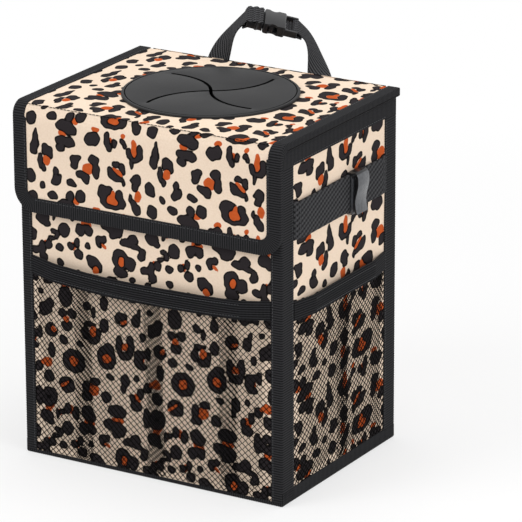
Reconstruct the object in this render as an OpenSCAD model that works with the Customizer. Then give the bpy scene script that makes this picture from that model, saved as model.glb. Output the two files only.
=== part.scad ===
// Car trash bin: a cloth bin stiffened with boards, with a bound lid and front flap, a moulded
// slit disc in the lid, net pockets on three sides, a strap with a hooked clip on each side and
// a hanging strap with a side-release buckle at the back.
// Origin: centre of the base, on the floor. X runs across the front, -Y is the front, +Z is up.

/* [Bin walls] */
// Width across the outer faces of the side panels
body_w = 234; // [190:1:280]
// Depth from the front panel's outer face to the back panel's
body_d = 174; // [160:1:210]
// Height of the bound top edge of the walls
rim_h = 283.5; // [265:0.5:330]

/* [Cloth and boards] */
// Thickness of the printed outer cloth
cloth_t = 1.2; // [0.8:0.1:2]
// Thickness of the stiffening boards in the walls and the bottom
board_t = 2.4; // [1.5:0.1:4]
// Thickness of the waterproof lining
liner_t = 0.6; // [0.4:0.1:1.2]
// Thickness of the binding tape
tape_t = 0.8; // [0.5:0.1:1.2]

/* [Bindings] */
// Width of the upright corner bindings on the front and back panels
corner_front_leg = 9; // [6:0.5:16]
// Width of the upright corner bindings on the side panels
corner_side_leg = 17; // [10:0.5:22]
// Height of the binding on the walls' top edge
rim_leg = 14.5; // [10:0.5:20]
// Height of the base binding on the side and back panels
base_leg = 11; // [6:0.5:16]
// Height of the base binding on the front panel
base_front_leg = 3; // [2:0.5:10]
// Width of the base binding under the bin
base_under = 9; // [6:0.5:16]
// Corner radius of the taped upright edges
tape_corner_r = 1.6; // [0.8:0.1:1.8]

/* [Lid] */
// Overhang of the bound lid past each side panel
lid_side_over = 3; // [2:0.5:6]
// Overhang of the lid past the back panel
lid_back_over = 2; // [1.5:0.5:4]
// Gap between the closed lid and the walls' top edge
lid_gap = 0.4; // [0.3:0.1:1]
// Thickness of the lid's board
lid_board_t = 2.6; // [1.5:0.1:4]
// Outer radius of the bend from the lid down to the flap
bend_r = 10; // [8:0.5:12]
// Width of the lid's side bindings on its top and underside
lid_leg = 10; // [6:0.5:14]
// Inset of the lid's board from the back edge
lid_board_inset = 4; // [2:0.5:8]

/* [Flap] */
// Height of the flap below its crease
flap_h = 76; // [50:1:95]
// Radius of the flap's lower corners
flap_corner_r = 18; // [14:1:26]
// Width of the flap's binding
flap_leg = 11.5; // [8:0.5:13]
// Thickness of the flap's board
flap_board_t = 1.6; // [1:0.1:3]
// Inset of the flap's board from its edges
flap_board_inset = 3; // [1:0.5:6]
// Gap between the flap and the lid at the crease
crease_gap = 0.4; // [0.3:0.1:0.6]

/* [Touch fastener] */
// Thickness of the hook strip and of the loop strip
strip_t = 0.9; // [0.6:0.1:1.1]
// Height of both strips
strip_h = 20; // [15:1:25]
// Length of both strips
strip_l = 150; // [80:1:165]
// Height of the strips' lower edge above the flap's lower edge
strip_rise = 16; // [14:1:20]
// Gap between the two strips with the flap down
strip_gap = 0.4; // [0.3:0.1:1]

/* [Slit disc] */
// Lid showing between its front bend and the disc
disc_front_margin = 16.6; // [12:0.2:20]
// Height of the disc above the lid's cloth
disc_t = 2.2; // [1.6:0.1:4]
// Thickness of the disc's slit membrane
membrane_t = 1.6; // [1:0.1:2]
// Distance from the lid's back edge to the disc
disc_back_margin = 16; // [10:1:19]
// Edge chamfer of the disc
disc_chamfer = 0.6; // [0.2:0.1:1]
// Distance of the ring groove's middle inside the disc's edge
groove_inset = 2.7; // [2.1:0.1:5]
// Width and depth of the ring groove
groove_w = 0.8; // [0.4:0.1:1]
// Overlap of the disc's rim on the lid round the hole
disc_lap = 7; // [5:0.5:8]
// Depth of the disc's locating collar in that hole
collar_h = 3; // [2:0.5:4]
// Wall of the locating collar
collar_t = 1.5; // [1:0.1:1.8]
// Clearance round the locating collar
collar_gap = 0.3; // [0.2:0.05:0.6]
// Number of slits
slit_n = 4; // [3:1:6]
// Width of each slit
slit_w = 2.6; // [1.5:0.1:3.5]
// Whole membrane left between each slit's end and the hole
slit_margin = 5.5; // [4:0.5:20]
// Radius of each slit's curve
slit_curve_r = 52; // [40:1:80]
// Angle at which the first slit leaves the centre
slit_start = 30; // [0:1:90]

/* [Net pockets] */
// Height of the pockets' top edges above the floor
pocket_top = 161; // [120:1:185]
// Height of the elastic band at each pocket's top
elastic_h = 15; // [10:1:20]
// Thickness of the elastic band
elastic_t = 1.8; // [1.2:0.1:2.2]
// Thickness of the net
net_t = 0.8; // [0.6:0.1:1.2]
// Distance that the front net stands off its panel
front_pocket_depth = 6.5; // [6:0.5:12]
// Distance that the side nets stand off their panels
side_pocket_depth = 6; // [6:0.5:10]
// Width of the sloped run at each pocket's sides
pocket_ramp = 24; // [16:1:32]
// Height of the sloped run at each pocket's foot
pocket_foot = 18; // [10:1:30]
// Distance of the lapped pleats from the middle of the front net
pleat_x = 66; // [40:1:75]
// Width of a lapped pleat
pleat_w = 14; // [8:1:18]
// Height of a lapped pleat above the net
pleat_rise = 1; // [0.6:0.1:1.6]

/* [Side straps and clips] */
// Width of the side webbing
side_web_w = 30; // [20:1:38]
// Distance of the side webbing's upper edge below the rim
side_web_drop = 43.5; // [31:0.5:63]
// Thickness of the side webbing
side_web_t = 1.6; // [1.2:0.1:2]
// Clear space behind the side webbing
side_web_off = 1.9; // [1.9:0.1:3]
// Run over which the side webbing rises from its panel
side_web_ramp = 8; // [5:1:12]
// Width of each clip along its webbing
clip_w = 17; // [10:1:24]
// Place of each clip behind the bin's middle
clip_y = 19; // [0:1:30]
// Thickness of the clip's rear bar
clip_bar_t = 1.2; // [1:0.1:1.3]
// Thickness of the clip's front plate
clip_plate_t = 1.8; // [1.4:0.1:2.4]
// Thickness of the clip's tongue
tongue_t = 1.6; // [1:0.1:2.4]
// Thickness of the clip's bridges above and below the webbing
clip_bridge_t = 1.5; // [1:0.1:2.5]
// Clearance between each clip and what it slides on
clip_gap = 0.3; // [0.25:0.05:0.3]
// Clear space between the clip's plate and its tongue at the top
tongue_space = 3.6; // [2:0.1:3.9]
// Clear space between the clip's plate and its tongue at the pinch
tongue_pinch = 0.8; // [0.5:0.1:2]

/* [Hanging strap] */
// Width of the hanging strap
strap_w = 20; // [16:1:22]
// Thickness of the hanging strap
strap_t = 1.3; // [1:0.1:1.4]
// Distance of each strap leg from the bin's middle
strap_x = 47; // [40:1:60]
// Distance below the rim where the strap leaves the back panel
strap_drop = 36.5; // [30:0.5:45]
// Length of the sewn ends on the back panel
strap_sewn_l = 32; // [25:1:36]

/* [Side-release buckle] */
// Place of the buckle across the bin
buckle_x = -12.5; // [-16:0.5:0]
// Height of the buckle above the walls' top edge
buckle_rise = 34; // [30:1:50]
// Distance of the buckle behind the back panel
buckle_back = 29; // [28:1:38]
// Turn of the buckle about the upright axis
buckle_yaw = 31; // [20:1:36]
// Fall of the buckle's right end
buckle_pitch = 14; // [8:1:18]
// Roll of the buckle about its length
buckle_roll = 13; // [5:1:18]
// Width of the buckle
buckle_w = 25; // [24.5:0.5:28]
// Thickness of the socket half
socket_t = 8.6; // [8:0.1:10]
// Length of the socket half's housing
socket_l = 18; // [17.5:0.5:22]
// Length of the strap's slot in the socket half
socket_slot_l = 6.9; // [3.4:0.1:8]
// Thickness of the frames that hold the strap
frame_t = 5.4; // [4.8:0.1:6.5]
// Width of the shoulder band where the plug half meets the socket
shoulder_l = 6.5; // [5:0.5:9]
// Length of the plug half's arms
arm_l = 11.5; // [11:0.5:15]
// Thickness of the plug half's arms
arm_t = 2.4; // [1.6:0.1:2.6]
// Depth of the plug half's arms
arm_h = 4.2; // [3:0.1:4.4]
// Wall of the socket's sides
socket_wall = 1.6; // [1.2:0.1:1.9]
// Clearance between the buckle's halves
buckle_gap = 0.3; // [0.2:0.05:0.4]
// Radius of the bars that hold the strap
bar_r = 1.5; // [1.2:0.1:1.7]

/* [Hidden] */
$fn = 96;
// A little extra length for cutters, so that cuts pass right through
past = 1;

// Outer faces of the panels, and the planes behind them
side_x = body_w / 2;
face_y = body_d / 2;
board_x = side_x - cloth_t;
board_y = face_y - cloth_t;
liner_x = board_x - board_t;
liner_y = board_y - board_t;
inner_x = liner_x - liner_t;
inner_y = liner_y - liner_t;

// Heights of the layers in the bottom, and of the walls' raw top edge
bottom_z = tape_t;
bottom_board_z = bottom_z + cloth_t;
floor_z = bottom_board_z + board_t;
wall_top = rim_h - tape_t;
rim_low = rim_h - rim_leg;

// Layers of the lid, from its underside up
lid_z = rim_h + lid_gap;
lid_lining_z = lid_z + tape_t;
lid_board_z = lid_lining_z + liner_t;
lid_cloth_z = lid_board_z + lid_board_t;
lid_top = lid_cloth_z + cloth_t;
lid_core_x = side_x + lid_side_over - tape_t;
lid_back_y = face_y + lid_back_over;

// Layers of the flap, from the front panel outwards
flap_in_y = face_y + 2 * strip_t + strip_gap;
flap_board_y = flap_in_y + liner_t;
flap_cloth_y = flap_board_y + flap_board_t;
flap_face_y = flap_cloth_y + cloth_t;
crease_z = lid_top - bend_r;
bend_y = -flap_face_y + bend_r;
flap_low_z = crease_z - flap_h;
strip_z = flap_low_z + strip_rise;

// Slit disc
disc_from = bend_y + disc_front_margin;
disc_to = lid_back_y - disc_back_margin;
disc_r = (disc_to - disc_from) / 2;
disc_y = (disc_from + disc_to) / 2;
disc_top = lid_top + disc_t;
groove_r = disc_r - groove_inset;
lid_hole_r = disc_r - disc_lap;
slit_reach = lid_hole_r - slit_margin;
slit_turn = 2 * asin(slit_reach / (2 * slit_curve_r));

// Side webbing and clips, measured outwards from the side panels
side_web_out = side_web_off + side_web_t;
side_run = body_d - 2 * corner_side_leg;
clip_plate_in = side_web_out + clip_gap;
clip_plate_out = clip_plate_in + clip_plate_t;
side_web_z = rim_h - side_web_drop - side_web_w;
clip_low = side_web_z - clip_gap - clip_bridge_t;
clip_high = side_web_z + side_web_w + clip_gap + clip_bridge_t;

// Directions of the buckle: its length, its width and its thickness
buckle_u = [
    cos(buckle_pitch) * cos(buckle_yaw), cos(buckle_pitch) * sin(buckle_yaw), -sin(buckle_pitch)
];
level_v = [-sin(buckle_yaw), cos(buckle_yaw), 0];
level_n = cross(buckle_u, level_v);
buckle_v = level_v * cos(buckle_roll) + level_n * sin(buckle_roll);
buckle_n = cross(buckle_u, buckle_v);
buckle_at = [buckle_x, face_y + buckle_back, rim_h + buckle_rise];

// Along the buckle's length, from its middle
mouth_u = -shoulder_l;
socket_end_u = mouth_u + socket_l;
plug_slot_l = 2 * (strap_t + 0.4);
socket_bar_u = socket_end_u + socket_slot_l + bar_r;
shoulder_u = mouth_u - buckle_gap;
plug_bar_u = shoulder_u - shoulder_l - plug_slot_l - bar_r;
cavity_half_w = buckle_w / 2 - socket_wall;
cavity_half_t = arm_h / 2 + buckle_gap;

// The strap's path round a bar: centre-line radius, and length of the doubled end
wrap_r = bar_r + strap_t / 2 + 0.15;
doubled_l = 7;

function unit(v) = v / norm(v);
function mix(a, b, t) = a + (b - a) * t;
function smooth(t) = t * t * (3 - 2 * t);
function bezier(p, t) =
    p[0] * pow(1 - t, 3) + p[1] * 3 * t * pow(1 - t, 2) + p[2] * 3 * t * t * (1 - t) + p[3] * pow(t, 3);
function buckle_point(u, v, n) = buckle_at + buckle_u * u + buckle_v * v + buckle_n * n;

// A rectangle with rounded corners, centred
module rounded_rect(w, d, r) {
    square([w - 2 * r, d], center = true);
    square([w, d - 2 * r], center = true);
    for (sx = [-1, 1], sy = [-1, 1])
        translate([sx * (w / 2 - r), sy * (d / 2 - r)]) circle(r);
}

// A block given by its lowest and highest corners
module block(low, high) {
    translate(low) cube(high - low);
}

// Bin walls

module front_panel() {
    color("BurlyWood") block([-side_x, -face_y, bottom_z], [side_x, -board_y, wall_top]);
}

module back_panel() {
    color("BurlyWood") block([-side_x, board_y, bottom_z], [side_x, face_y, wall_top]);
}

module side_panel(side) {
    color("BurlyWood") translate([side * (side_x - cloth_t / 2), 0, bottom_z])
        translate([-cloth_t / 2, -board_y, 0]) cube([cloth_t, 2 * board_y, wall_top - bottom_z]);
}

module bottom_panel() {
    color("DimGray") block([-board_x, -board_y, bottom_z], [board_x, board_y, bottom_board_z]);
}

module front_back_board(side) {
    color("Gainsboro") translate([-board_x, side > 0 ? liner_y : -board_y, bottom_board_z])
        cube([2 * board_x, board_t, wall_top - bottom_board_z]);
}

module side_board(side) {
    color("Gainsboro") translate([side > 0 ? liner_x : -board_x, -liner_y, bottom_board_z])
        cube([board_t, 2 * liner_y, wall_top - bottom_board_z]);
}

module bottom_board() {
    color("Gainsboro") block([-liner_x, -liner_y, bottom_board_z], [liner_x, liner_y, floor_z]);
}

module liner() {
    color("SlateGray") difference() {
        block([-liner_x, -liner_y, floor_z], [liner_x, liner_y, wall_top]);
        block([-inner_x, -inner_y, floor_z + liner_t], [inner_x, inner_y, wall_top + past]);
    }
}

// Bindings

// The taped outline of the bin's plan
module taped_plan() {
    rounded_rect(body_w + 2 * tape_t, body_d + 2 * tape_t, tape_corner_r);
}

// The bin's own plan, inside the tape
module bare_plan() {
    square([body_w, body_d], center = true);
}

// An upright corner binding: side -1 left or 1 right, end -1 front or 1 back
module corner_binding(side, end) {
    front_low = end < 0 ? base_front_leg : base_leg;
    color("DarkSlateGray") difference() {
        translate([0, 0, front_low]) linear_extrude(rim_low - front_low) difference() {
            intersection() {
                taped_plan();
                translate([
                    side > 0 ? side_x - corner_front_leg : -side_x - tape_t - past,
                    end > 0 ? face_y - corner_side_leg : -face_y - tape_t - past
                ]) square([corner_front_leg + tape_t + past, corner_side_leg + tape_t + past]);
            }
            bare_plan();
        }
        translate([side > 0 ? side_x : -side_x - 2 * past, -body_d, 0])
            cube([2 * past, 2 * body_d, base_leg]);
    }
}

module rim_binding() {
    color("DarkSlateGray") difference() {
        translate([0, 0, rim_low]) linear_extrude(rim_leg) taped_plan();
        block([-inner_x + tape_t, -inner_y + tape_t, rim_low - past],
            [inner_x - tape_t, inner_y - tape_t, rim_h + past]);
        difference() {
            block([-side_x, -face_y, rim_low - past], [side_x, face_y, wall_top]);
            block([-inner_x, -inner_y, rim_low - 2 * past], [inner_x, inner_y, wall_top + past]);
        }
    }
}

module base_binding() {
    color("DarkSlateGray") difference() {
        linear_extrude(base_leg) taped_plan();
        block([-side_x, -face_y, bottom_z], [side_x, face_y, base_leg + past]);
        block([-side_x, -face_y - tape_t - past, base_front_leg],
            [side_x, -face_y + past, base_leg + past]);
        block([-side_x + base_under, -face_y + base_under, -past],
            [side_x - base_under, face_y - base_under, bottom_z + past]);
    }
}

// Net pockets, drawn with X along the panel, Y away from it and Z up

// Plan of a band that rises from the panel at both ends and stands off it between them
module band_plan(run, ramp, near, far) {
    polygon([
        [-run / 2, 0], [-run / 2, far - near], [-run / 2 + ramp, far], [run / 2 - ramp, far],
        [run / 2, far - near], [run / 2, 0], [run / 2 - ramp, near], [-run / 2 + ramp, near]
    ]);
}

// The closed form under a net's outer face, or under its inner face when skin is 0
module pocket_form(run, depth, skin, high) {
    intersection() {
        linear_extrude(high) polygon([
            [-run / 2, -skin], [-run / 2, skin], [-run / 2 + pocket_ramp, depth + skin],
            [run / 2 - pocket_ramp, depth + skin], [run / 2, skin], [run / 2, -skin]
        ]);
        translate([-run / 2, 0, 0]) rotate([90, 0, 90]) linear_extrude(run) polygon([
            [-skin, 0], [skin, 0], [depth + skin, pocket_foot], [depth + skin, high], [-skin, high]
        ]);
    }
}

// A lapped pleat that stands on the net's outer face
module pleat(at, depth, high) {
    translate([at, depth, pocket_foot]) linear_extrude(high - pocket_foot)
        polygon([[-pleat_w / 2, -net_t / 2], [pleat_w / 2 - pleat_rise, pleat_rise],
            [pleat_w / 2, -net_t / 2]]);
}

// Keeps the net's inner form from ending in the same plane as its outer one
hair = 0.001;

module pocket_net(run, depth, low, pleats) {
    high = pocket_top - elastic_h - low;
    color("DimGray") translate([0, 0, low]) difference() {
        union() {
            pocket_form(run, depth - net_t, net_t, high);
            for (at = pleats) pleat(at, depth, high);
        }
        translate([0, 0, -hair]) pocket_form(run, depth - net_t, 0, high + 1);
        block([-run, -2 * net_t, -past], [run, 0, high + past]);
    }
}

module pocket_elastic(run, depth) {
    spare = (elastic_t - net_t) / 2;
    color("DarkSlateGray") translate([0, 0, pocket_top - elastic_h]) linear_extrude(elastic_h)
        band_plan(run, pocket_ramp, depth - net_t - spare, depth + spare);
}

// Turns a piece that is drawn for one panel to face front (0), left (-1) or right (1)
module on_panel(side) {
    rotate([0, 0, side == 0 ? 180 : -90 * side])
        translate([0, side == 0 ? face_y : side_x, 0]) children();
}

front_run = body_w - 2 * corner_front_leg;

module front_pocket_net() {
    on_panel(0) pocket_net(front_run, front_pocket_depth, base_front_leg, [-pleat_x, 0, pleat_x]);
}

module side_pocket_net(side) {
    on_panel(side) pocket_net(side_run, side_pocket_depth, base_leg, [0]);
}

module front_elastic() {
    on_panel(0) pocket_elastic(front_run, front_pocket_depth);
}

module side_elastic(side) {
    on_panel(side) pocket_elastic(side_run, side_pocket_depth);
}

// Side straps and clips

module side_webbing(side) {
    color("DarkSlateGray") on_panel(side) translate([0, 0, side_web_z]) linear_extrude(side_web_w)
        band_plan(side_run, side_web_ramp, side_web_off, side_web_out);
}

// Centre line of the clip's tongue, in the plane of its section: over the top, down, in, out
tongue_half = tongue_t / 2;
tongue_root = [(clip_plate_in + clip_plate_out) / 2, clip_high - 5];
tongue_belly = [clip_plate_out + tongue_space + tongue_half, clip_high - 8];
tongue_neck = [clip_plate_out + tongue_pinch + tongue_half, clip_low + 9];
tongue_tip = [clip_plate_out + 2.6 + tongue_half, clip_low + 0.5];
tongue_curves = [
    [tongue_root, tongue_root + [0, 7], tongue_belly + [0.4, 10], tongue_belly],
    [tongue_belly, tongue_belly - [0.3, 6], tongue_neck + [-0.2, 6], tongue_neck],
    [tongue_neck, tongue_neck - [-0.2, 3], tongue_tip + [-1, 3], tongue_tip]
];
tongue_steps = 6;
tongue_line = concat(
    [for (c = tongue_curves, i = [0 : tongue_steps - 1]) bezier(c, i / tongue_steps)], [tongue_tip]
);
tongue_last = len(tongue_line) - 1;

// The tongue line moved sideways by a distance
function tongue_side(d) = [
    for (i = [0 : tongue_last])
        let (along = unit(tongue_line[min(i + 1, tongue_last)] - tongue_line[max(i - 1, 0)]))
        tongue_line[i] + [-along[1], along[0]] * d
];
tongue_front = tongue_side(tongue_half);
tongue_back = tongue_side(-tongue_half);

// Section of the clip's ring, with the webbing's way through it
module clip_ring_section() {
    difference() {
        translate([(clip_gap + clip_plate_out) / 2, (clip_low + clip_high) / 2])
            rounded_rect(clip_plate_out - clip_gap, clip_high - clip_low, 0.9);
        translate([clip_gap + clip_bar_t, clip_low + clip_bridge_t])
            square([clip_plate_in - clip_gap - clip_bar_t, clip_high - clip_low - 2 * clip_bridge_t]);
    }
}

module clip(side) {
    color("Black") translate([side * side_x, clip_y + clip_w / 2, 0])
        mirror([side > 0 ? 0 : 1, 0, 0]) rotate([90, 0, 0]) {
            linear_extrude(clip_w) clip_ring_section();
            linear_extrude(clip_w)
                polygon(concat(tongue_front, [for (i = [tongue_last : -1 : 0]) tongue_back[i]]));
        }
}

// Hanging strap

strap_steps = 20;
wrap_steps = 6;
// Share of the way to the buckle at which each strap half begins to twist, left and right
twist_from = [0.4, 0];
// Angle by which each half pulls below the buckle's length
pull_dip = [61.8, 33.8];
// Straight length of each half's pull, and how it leaves the back panel
pull_l = [19.9, 20.5];
strap_lean = [[-8, 0, 28.5], [0, 9.6, 10]];

// Path of one strap half: up the back panel, over to the buckle and round its bar
function strap_path(side) =
    let (
        half = side < 0 ? 0 : 1,
        bar = buckle_point(side < 0 ? plug_bar_u : socket_bar_u, 0, 0),
        pull = buckle_u * side * cos(pull_dip[half]) - buckle_n * sin(pull_dip[half]),
        lift = buckle_u * side * sin(pull_dip[half]) + buckle_n * cos(pull_dip[half]),
        leaves = [side * strap_x, face_y + strap_t / 2, rim_h - strap_drop],
        arrives = bar + pull * (doubled_l + 1) + lift * wrap_r,
        curve = [leaves, leaves + strap_lean[half], arrives + pull * pull_l[half], arrives]
    )
    concat(
        [leaves - [0, 0, strap_sewn_l]],
        [for (i = [0 : strap_steps]) bezier(curve, i / strap_steps)],
        [for (i = [0 : wrap_steps])
            let (a = 90 + 180 * i / wrap_steps) bar + (pull * cos(a) + lift * sin(a)) * wrap_r],
        [bar + pull * wrap_r + lift * (0.2 - wrap_r),
            bar + pull * doubled_l + lift * (wrap_r - strap_t - 0.6)]
    );

// Direction of the strap's width at each point of that path
function strap_widths(side) =
    let (last = side * buckle_v, from = twist_from[side < 0 ? 0 : 1])
    concat(
        [[1, 0, 0]],
        [for (i = [0 : strap_steps])
            mix([1, 0, 0], last, smooth(max(0, i / strap_steps - from) / (1 - from)))],
        [for (i = [1 : wrap_steps + 3]) last]
    );

// The four corners of the strap's section at each point
function strap_rings(path, widths) = [
    for (i = [0 : len(path) - 1])
        let (
            along = unit(path[min(i + 1, len(path) - 1)] - path[max(i - 1, 0)]),
            w = unit(widths[i] - along * (widths[i] * along)),
            n = cross(along, w)
        )
        for (c = [[1, 1], [-1, 1], [-1, -1], [1, -1]])
            path[i] + w * c[0] * strap_w / 2 + n * c[1] * strap_t / 2
];

module strap(side) {
    path = strap_path(side);
    points = strap_rings(path, strap_widths(side));
    last = len(path) - 1;
    sides = [
        for (i = [0 : last - 1], k = [0 : 3])
            let (a = 4 * i + k, b = 4 * i + (k + 1) % 4)
            for (f = [[a, b, b + 4], [a, b + 4, a + 4]]) f
    ];
    color("DarkSlateGray") polyhedron(
        points = points,
        faces = concat([[3, 2, 1, 0]], sides, [[for (k = [0 : 3]) 4 * last + k]])
    );
}

// Side-release buckle, drawn with X along its length, Y across it and Z through it

module buckle_place() {
    multmatrix([
        for (i = [0 : 2]) [buckle_u[i], buckle_v[i], buckle_n[i], buckle_at[i]]
    ]) children();
}

// A plate with rounded plan corners between two places along the buckle
module buckle_plate(from, to, w, t, r) {
    translate([(from + to) / 2, 0, -t / 2]) linear_extrude(t) rounded_rect(to - from, w, r);
}

// The end frame that holds the strap: a slotted plate whose outer bar is round
module strap_frame(from, bar_u, side) {
    slot_w = strap_w + 1;
    rail_end = bar_u + side * bar_r;
    difference() {
        buckle_plate(min(from, rail_end), max(from, rail_end), buckle_w, frame_t, 1.2);
        buckle_plate(min(from + side, rail_end + side * past), max(from + side, rail_end + side * past),
            slot_w, frame_t + 2 * past, 0.4);
    }
    translate([bar_u, 0, 0]) rotate([90, 0, 0]) cylinder(h = slot_w + 0.6, r = bar_r, center = true);
}

// The round bites in the socket's edges, where the arms' pads are pressed
pad_l = 6.4;
thumb_r = 4.5;
thumb_depth = 1.8;
thumb_u = mouth_u + arm_l - 3.7;
window_l = pad_l + 1;

module socket_outline() {
    difference() {
        translate([(mouth_u + socket_end_u) / 2, 0])
            rounded_rect(socket_l, buckle_w, 2);
        for (s = [-1, 1])
            translate([thumb_u, s * (buckle_w / 2 + thumb_r - thumb_depth)]) circle(thumb_r);
    }
}

module buckle_socket() {
    color("Black") buckle_place() difference() {
        union() {
            intersection() {
                translate([0, 0, -socket_t / 2]) linear_extrude(socket_t) socket_outline();
                translate([0, buckle_w / 2, 0]) rotate([90, 0, 0]) linear_extrude(buckle_w)
                    translate([(mouth_u + socket_end_u) / 2, 0]) rounded_rect(socket_l, socket_t, 1.4);
            }
            strap_frame(socket_end_u - 1.2, socket_bar_u, 1);
        }
        translate([mouth_u - past, -cavity_half_w, -cavity_half_t])
            cube([arm_l + past + 0.8, 2 * cavity_half_w, 2 * cavity_half_t]);
        translate([mouth_u + arm_l - window_l - 0.4, -buckle_w / 2 - past, -cavity_half_t])
            cube([window_l + 0.8, buckle_w + 2 * past, 2 * cavity_half_t]);
    }
}

// One sprung arm of the plug half, with the pad that shows in the socket's side window
module plug_arm(side) {
    root_y = cavity_half_w - 1 - arm_t;
    pad_y = buckle_w / 2 - 0.9;
    tip = mouth_u + arm_l - 0.6;
    pad = tip - pad_l;
    translate([0, 0, -arm_h / 2]) linear_extrude(arm_h) scale([1, side]) polygon([
        [shoulder_u - 1, root_y], [shoulder_u - 1, root_y + arm_t], [pad - 0.2, root_y + arm_t],
        [pad + 0.4, pad_y - 0.5], [pad + 1.6, pad_y], [pad + 3.6, pad_y],
        [tip - 0.6, root_y + arm_t - 0.6], [tip, root_y + 1], [tip - 1.2, root_y], [pad - 1.5, root_y]
    ]);
}

module buckle_plug() {
    prong_w = 4.6;
    prong_t = 3;
    color("Black") buckle_place() {
        difference() {
            union() {
                buckle_plate(shoulder_u - shoulder_l, shoulder_u, buckle_w, frame_t + 1.4, 1.6);
                strap_frame(shoulder_u - shoulder_l + 1.2, plug_bar_u, -1);
            }
            for (s = [-1, 1])
                translate([shoulder_u - 2.2, s * (buckle_w / 2 + 2.2), -frame_t])
                    cylinder(h = 2 * frame_t, r = 3.4);
        }
        translate([shoulder_u - 1, -prong_w / 2, -prong_t / 2]) cube([arm_l - 2, prong_w, prong_t]);
        plug_arm(-1);
        plug_arm(1);
    }
}

// Touch fastener

module front_loop_strip() {
    color("Black") block([-strip_l / 2, -face_y - strip_t, strip_z],
        [strip_l / 2, -face_y, strip_z + strip_h]);
}

module flap_hook_strip() {
    color("Black") block([-strip_l / 2, -flap_in_y, strip_z],
        [strip_l / 2, -flap_in_y + strip_t, strip_z + strip_h]);
}

// Lid, whose sections are drawn with X to the back and Y up

// A quarter ring at the lid's front bend
module bend_ring(outer, inner) {
    translate([bend_y, crease_z]) intersection() {
        difference() {
            circle(outer);
            circle(inner);
        }
        translate([-outer - past, 0]) square(outer + past);
    }
}

module cover_section() {
    translate([bend_y, lid_cloth_z]) square([lid_back_y - bend_y, cloth_t]);
    bend_ring(bend_r, bend_r - cloth_t);
}

// Everything inside the lid's side bindings
module lid_core_section() {
    translate([bend_y, lid_lining_z]) square([lid_back_y - bend_y, lid_top - lid_lining_z]);
    bend_ring(bend_r, bend_r - cloth_t);
}

module lid_taped_section() {
    translate([bend_y, lid_z]) square([lid_back_y - bend_y, lid_top + tape_t - lid_z]);
    bend_ring(bend_r + tape_t, bend_r - cloth_t - tape_t);
}

// Extrudes a lid section along X between two places
module lid_span(from, to) {
    translate([from, 0, 0]) rotate([90, 0, 90]) linear_extrude(to - from) children();
}

module disc_hole() {
    translate([0, disc_y, lid_z]) cylinder(h = lid_top + past - lid_z, r = lid_hole_r);
}

module lid_cover() {
    color("BurlyWood") difference() {
        lid_span(-lid_core_x, lid_core_x) cover_section();
        disc_hole();
    }
}

module lid_board() {
    color("Gainsboro") difference() {
        block([-lid_core_x, bend_y, lid_board_z],
            [lid_core_x, lid_back_y - lid_board_inset, lid_cloth_z]);
        disc_hole();
    }
}

module lid_lining() {
    color("SlateGray") difference() {
        block([-lid_core_x, bend_y, lid_lining_z], [lid_core_x, lid_back_y, lid_board_z]);
        disc_hole();
    }
}

module lid_binding(side) {
    color("DarkSlateGray") mirror([side > 0 ? 0 : 1, 0, 0]) difference() {
        lid_span(lid_core_x - lid_leg, lid_core_x + tape_t) lid_taped_section();
        lid_span(lid_core_x - lid_leg - past, lid_core_x) lid_core_section();
    }
}

module slit_plan() {
    reach = 2 * slit_curve_r;
    function way(a) = [cos(a), sin(a)] * reach;
    from = slit_start - 90;
    rotate(slit_start + 90) translate([slit_curve_r, 0]) rotate(-slit_start - 90) {
        intersection() {
            difference() {
                circle(slit_curve_r + slit_w / 2);
                circle(slit_curve_r - slit_w / 2);
            }
            polygon([[0, 0], way(from), way(from + slit_turn / 2), way(from + slit_turn)]);
        }
        translate(way(from + slit_turn) / 2) circle(slit_w / 2);
    }
    circle(slit_w / 2);
}

module slit_disc() {
    under = disc_top - membrane_t;
    collar_r = lid_hole_r - collar_gap;
    color("Black") translate([0, disc_y, 0]) difference() {
        rotate_extrude() polygon([
            [0, under], [collar_r - collar_t, under], [collar_r - collar_t, lid_top - collar_h],
            [collar_r, lid_top - collar_h], [collar_r, lid_top], [disc_r, lid_top],
            [disc_r, disc_top - disc_chamfer], [disc_r - disc_chamfer, disc_top],
            [groove_r + groove_w / 2, disc_top], [groove_r + groove_w / 2, disc_top - groove_w],
            [groove_r - groove_w / 2, disc_top - groove_w], [groove_r - groove_w / 2, disc_top],
            [0, disc_top]
        ]);
        for (i = [0 : slit_n - 1]) rotate([0, 0, 360 * i / slit_n])
            translate([0, 0, under - past]) linear_extrude(membrane_t + 2 * past) slit_plan();
    }
}

// Flap, whose outline is drawn with X across and Y up

// The flap's outline, drawn in or out by a distance on its three free sides
module flap_outline(grow) {
    r = flap_corner_r + grow;
    half = lid_core_x + grow;
    low = flap_low_z - grow;
    top = crease_z - crease_gap;
    translate([-half, low + r]) square([2 * half, top - low - r]);
    translate([-half + r, low]) square([2 * half - 2 * r, r + past]);
    for (s = [-1, 1]) translate([s * (half - r), low + r]) circle(r);
}

// Extrudes a flap outline from one distance in front of the origin to another
module flap_slab(near, far) {
    translate([0, -near, 0]) rotate([90, 0, 0]) linear_extrude(far - near) children();
}

module flap_cover() {
    color("BurlyWood") flap_slab(flap_cloth_y, flap_face_y) flap_outline(0);
}

module flap_board() {
    color("Gainsboro") flap_slab(flap_board_y, flap_cloth_y) flap_outline(-flap_board_inset);
}

module flap_lining() {
    color("SlateGray") flap_slab(flap_in_y, flap_board_y) flap_outline(0);
}

module flap_binding() {
    color("DarkSlateGray") difference() {
        flap_slab(flap_in_y - tape_t, flap_face_y + tape_t) flap_outline(tape_t);
        flap_slab(flap_in_y - 2 * past, flap_face_y + 2 * past) flap_outline(-flap_leg);
        flap_slab(flap_in_y, flap_face_y) flap_outline(0);
    }
}

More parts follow.
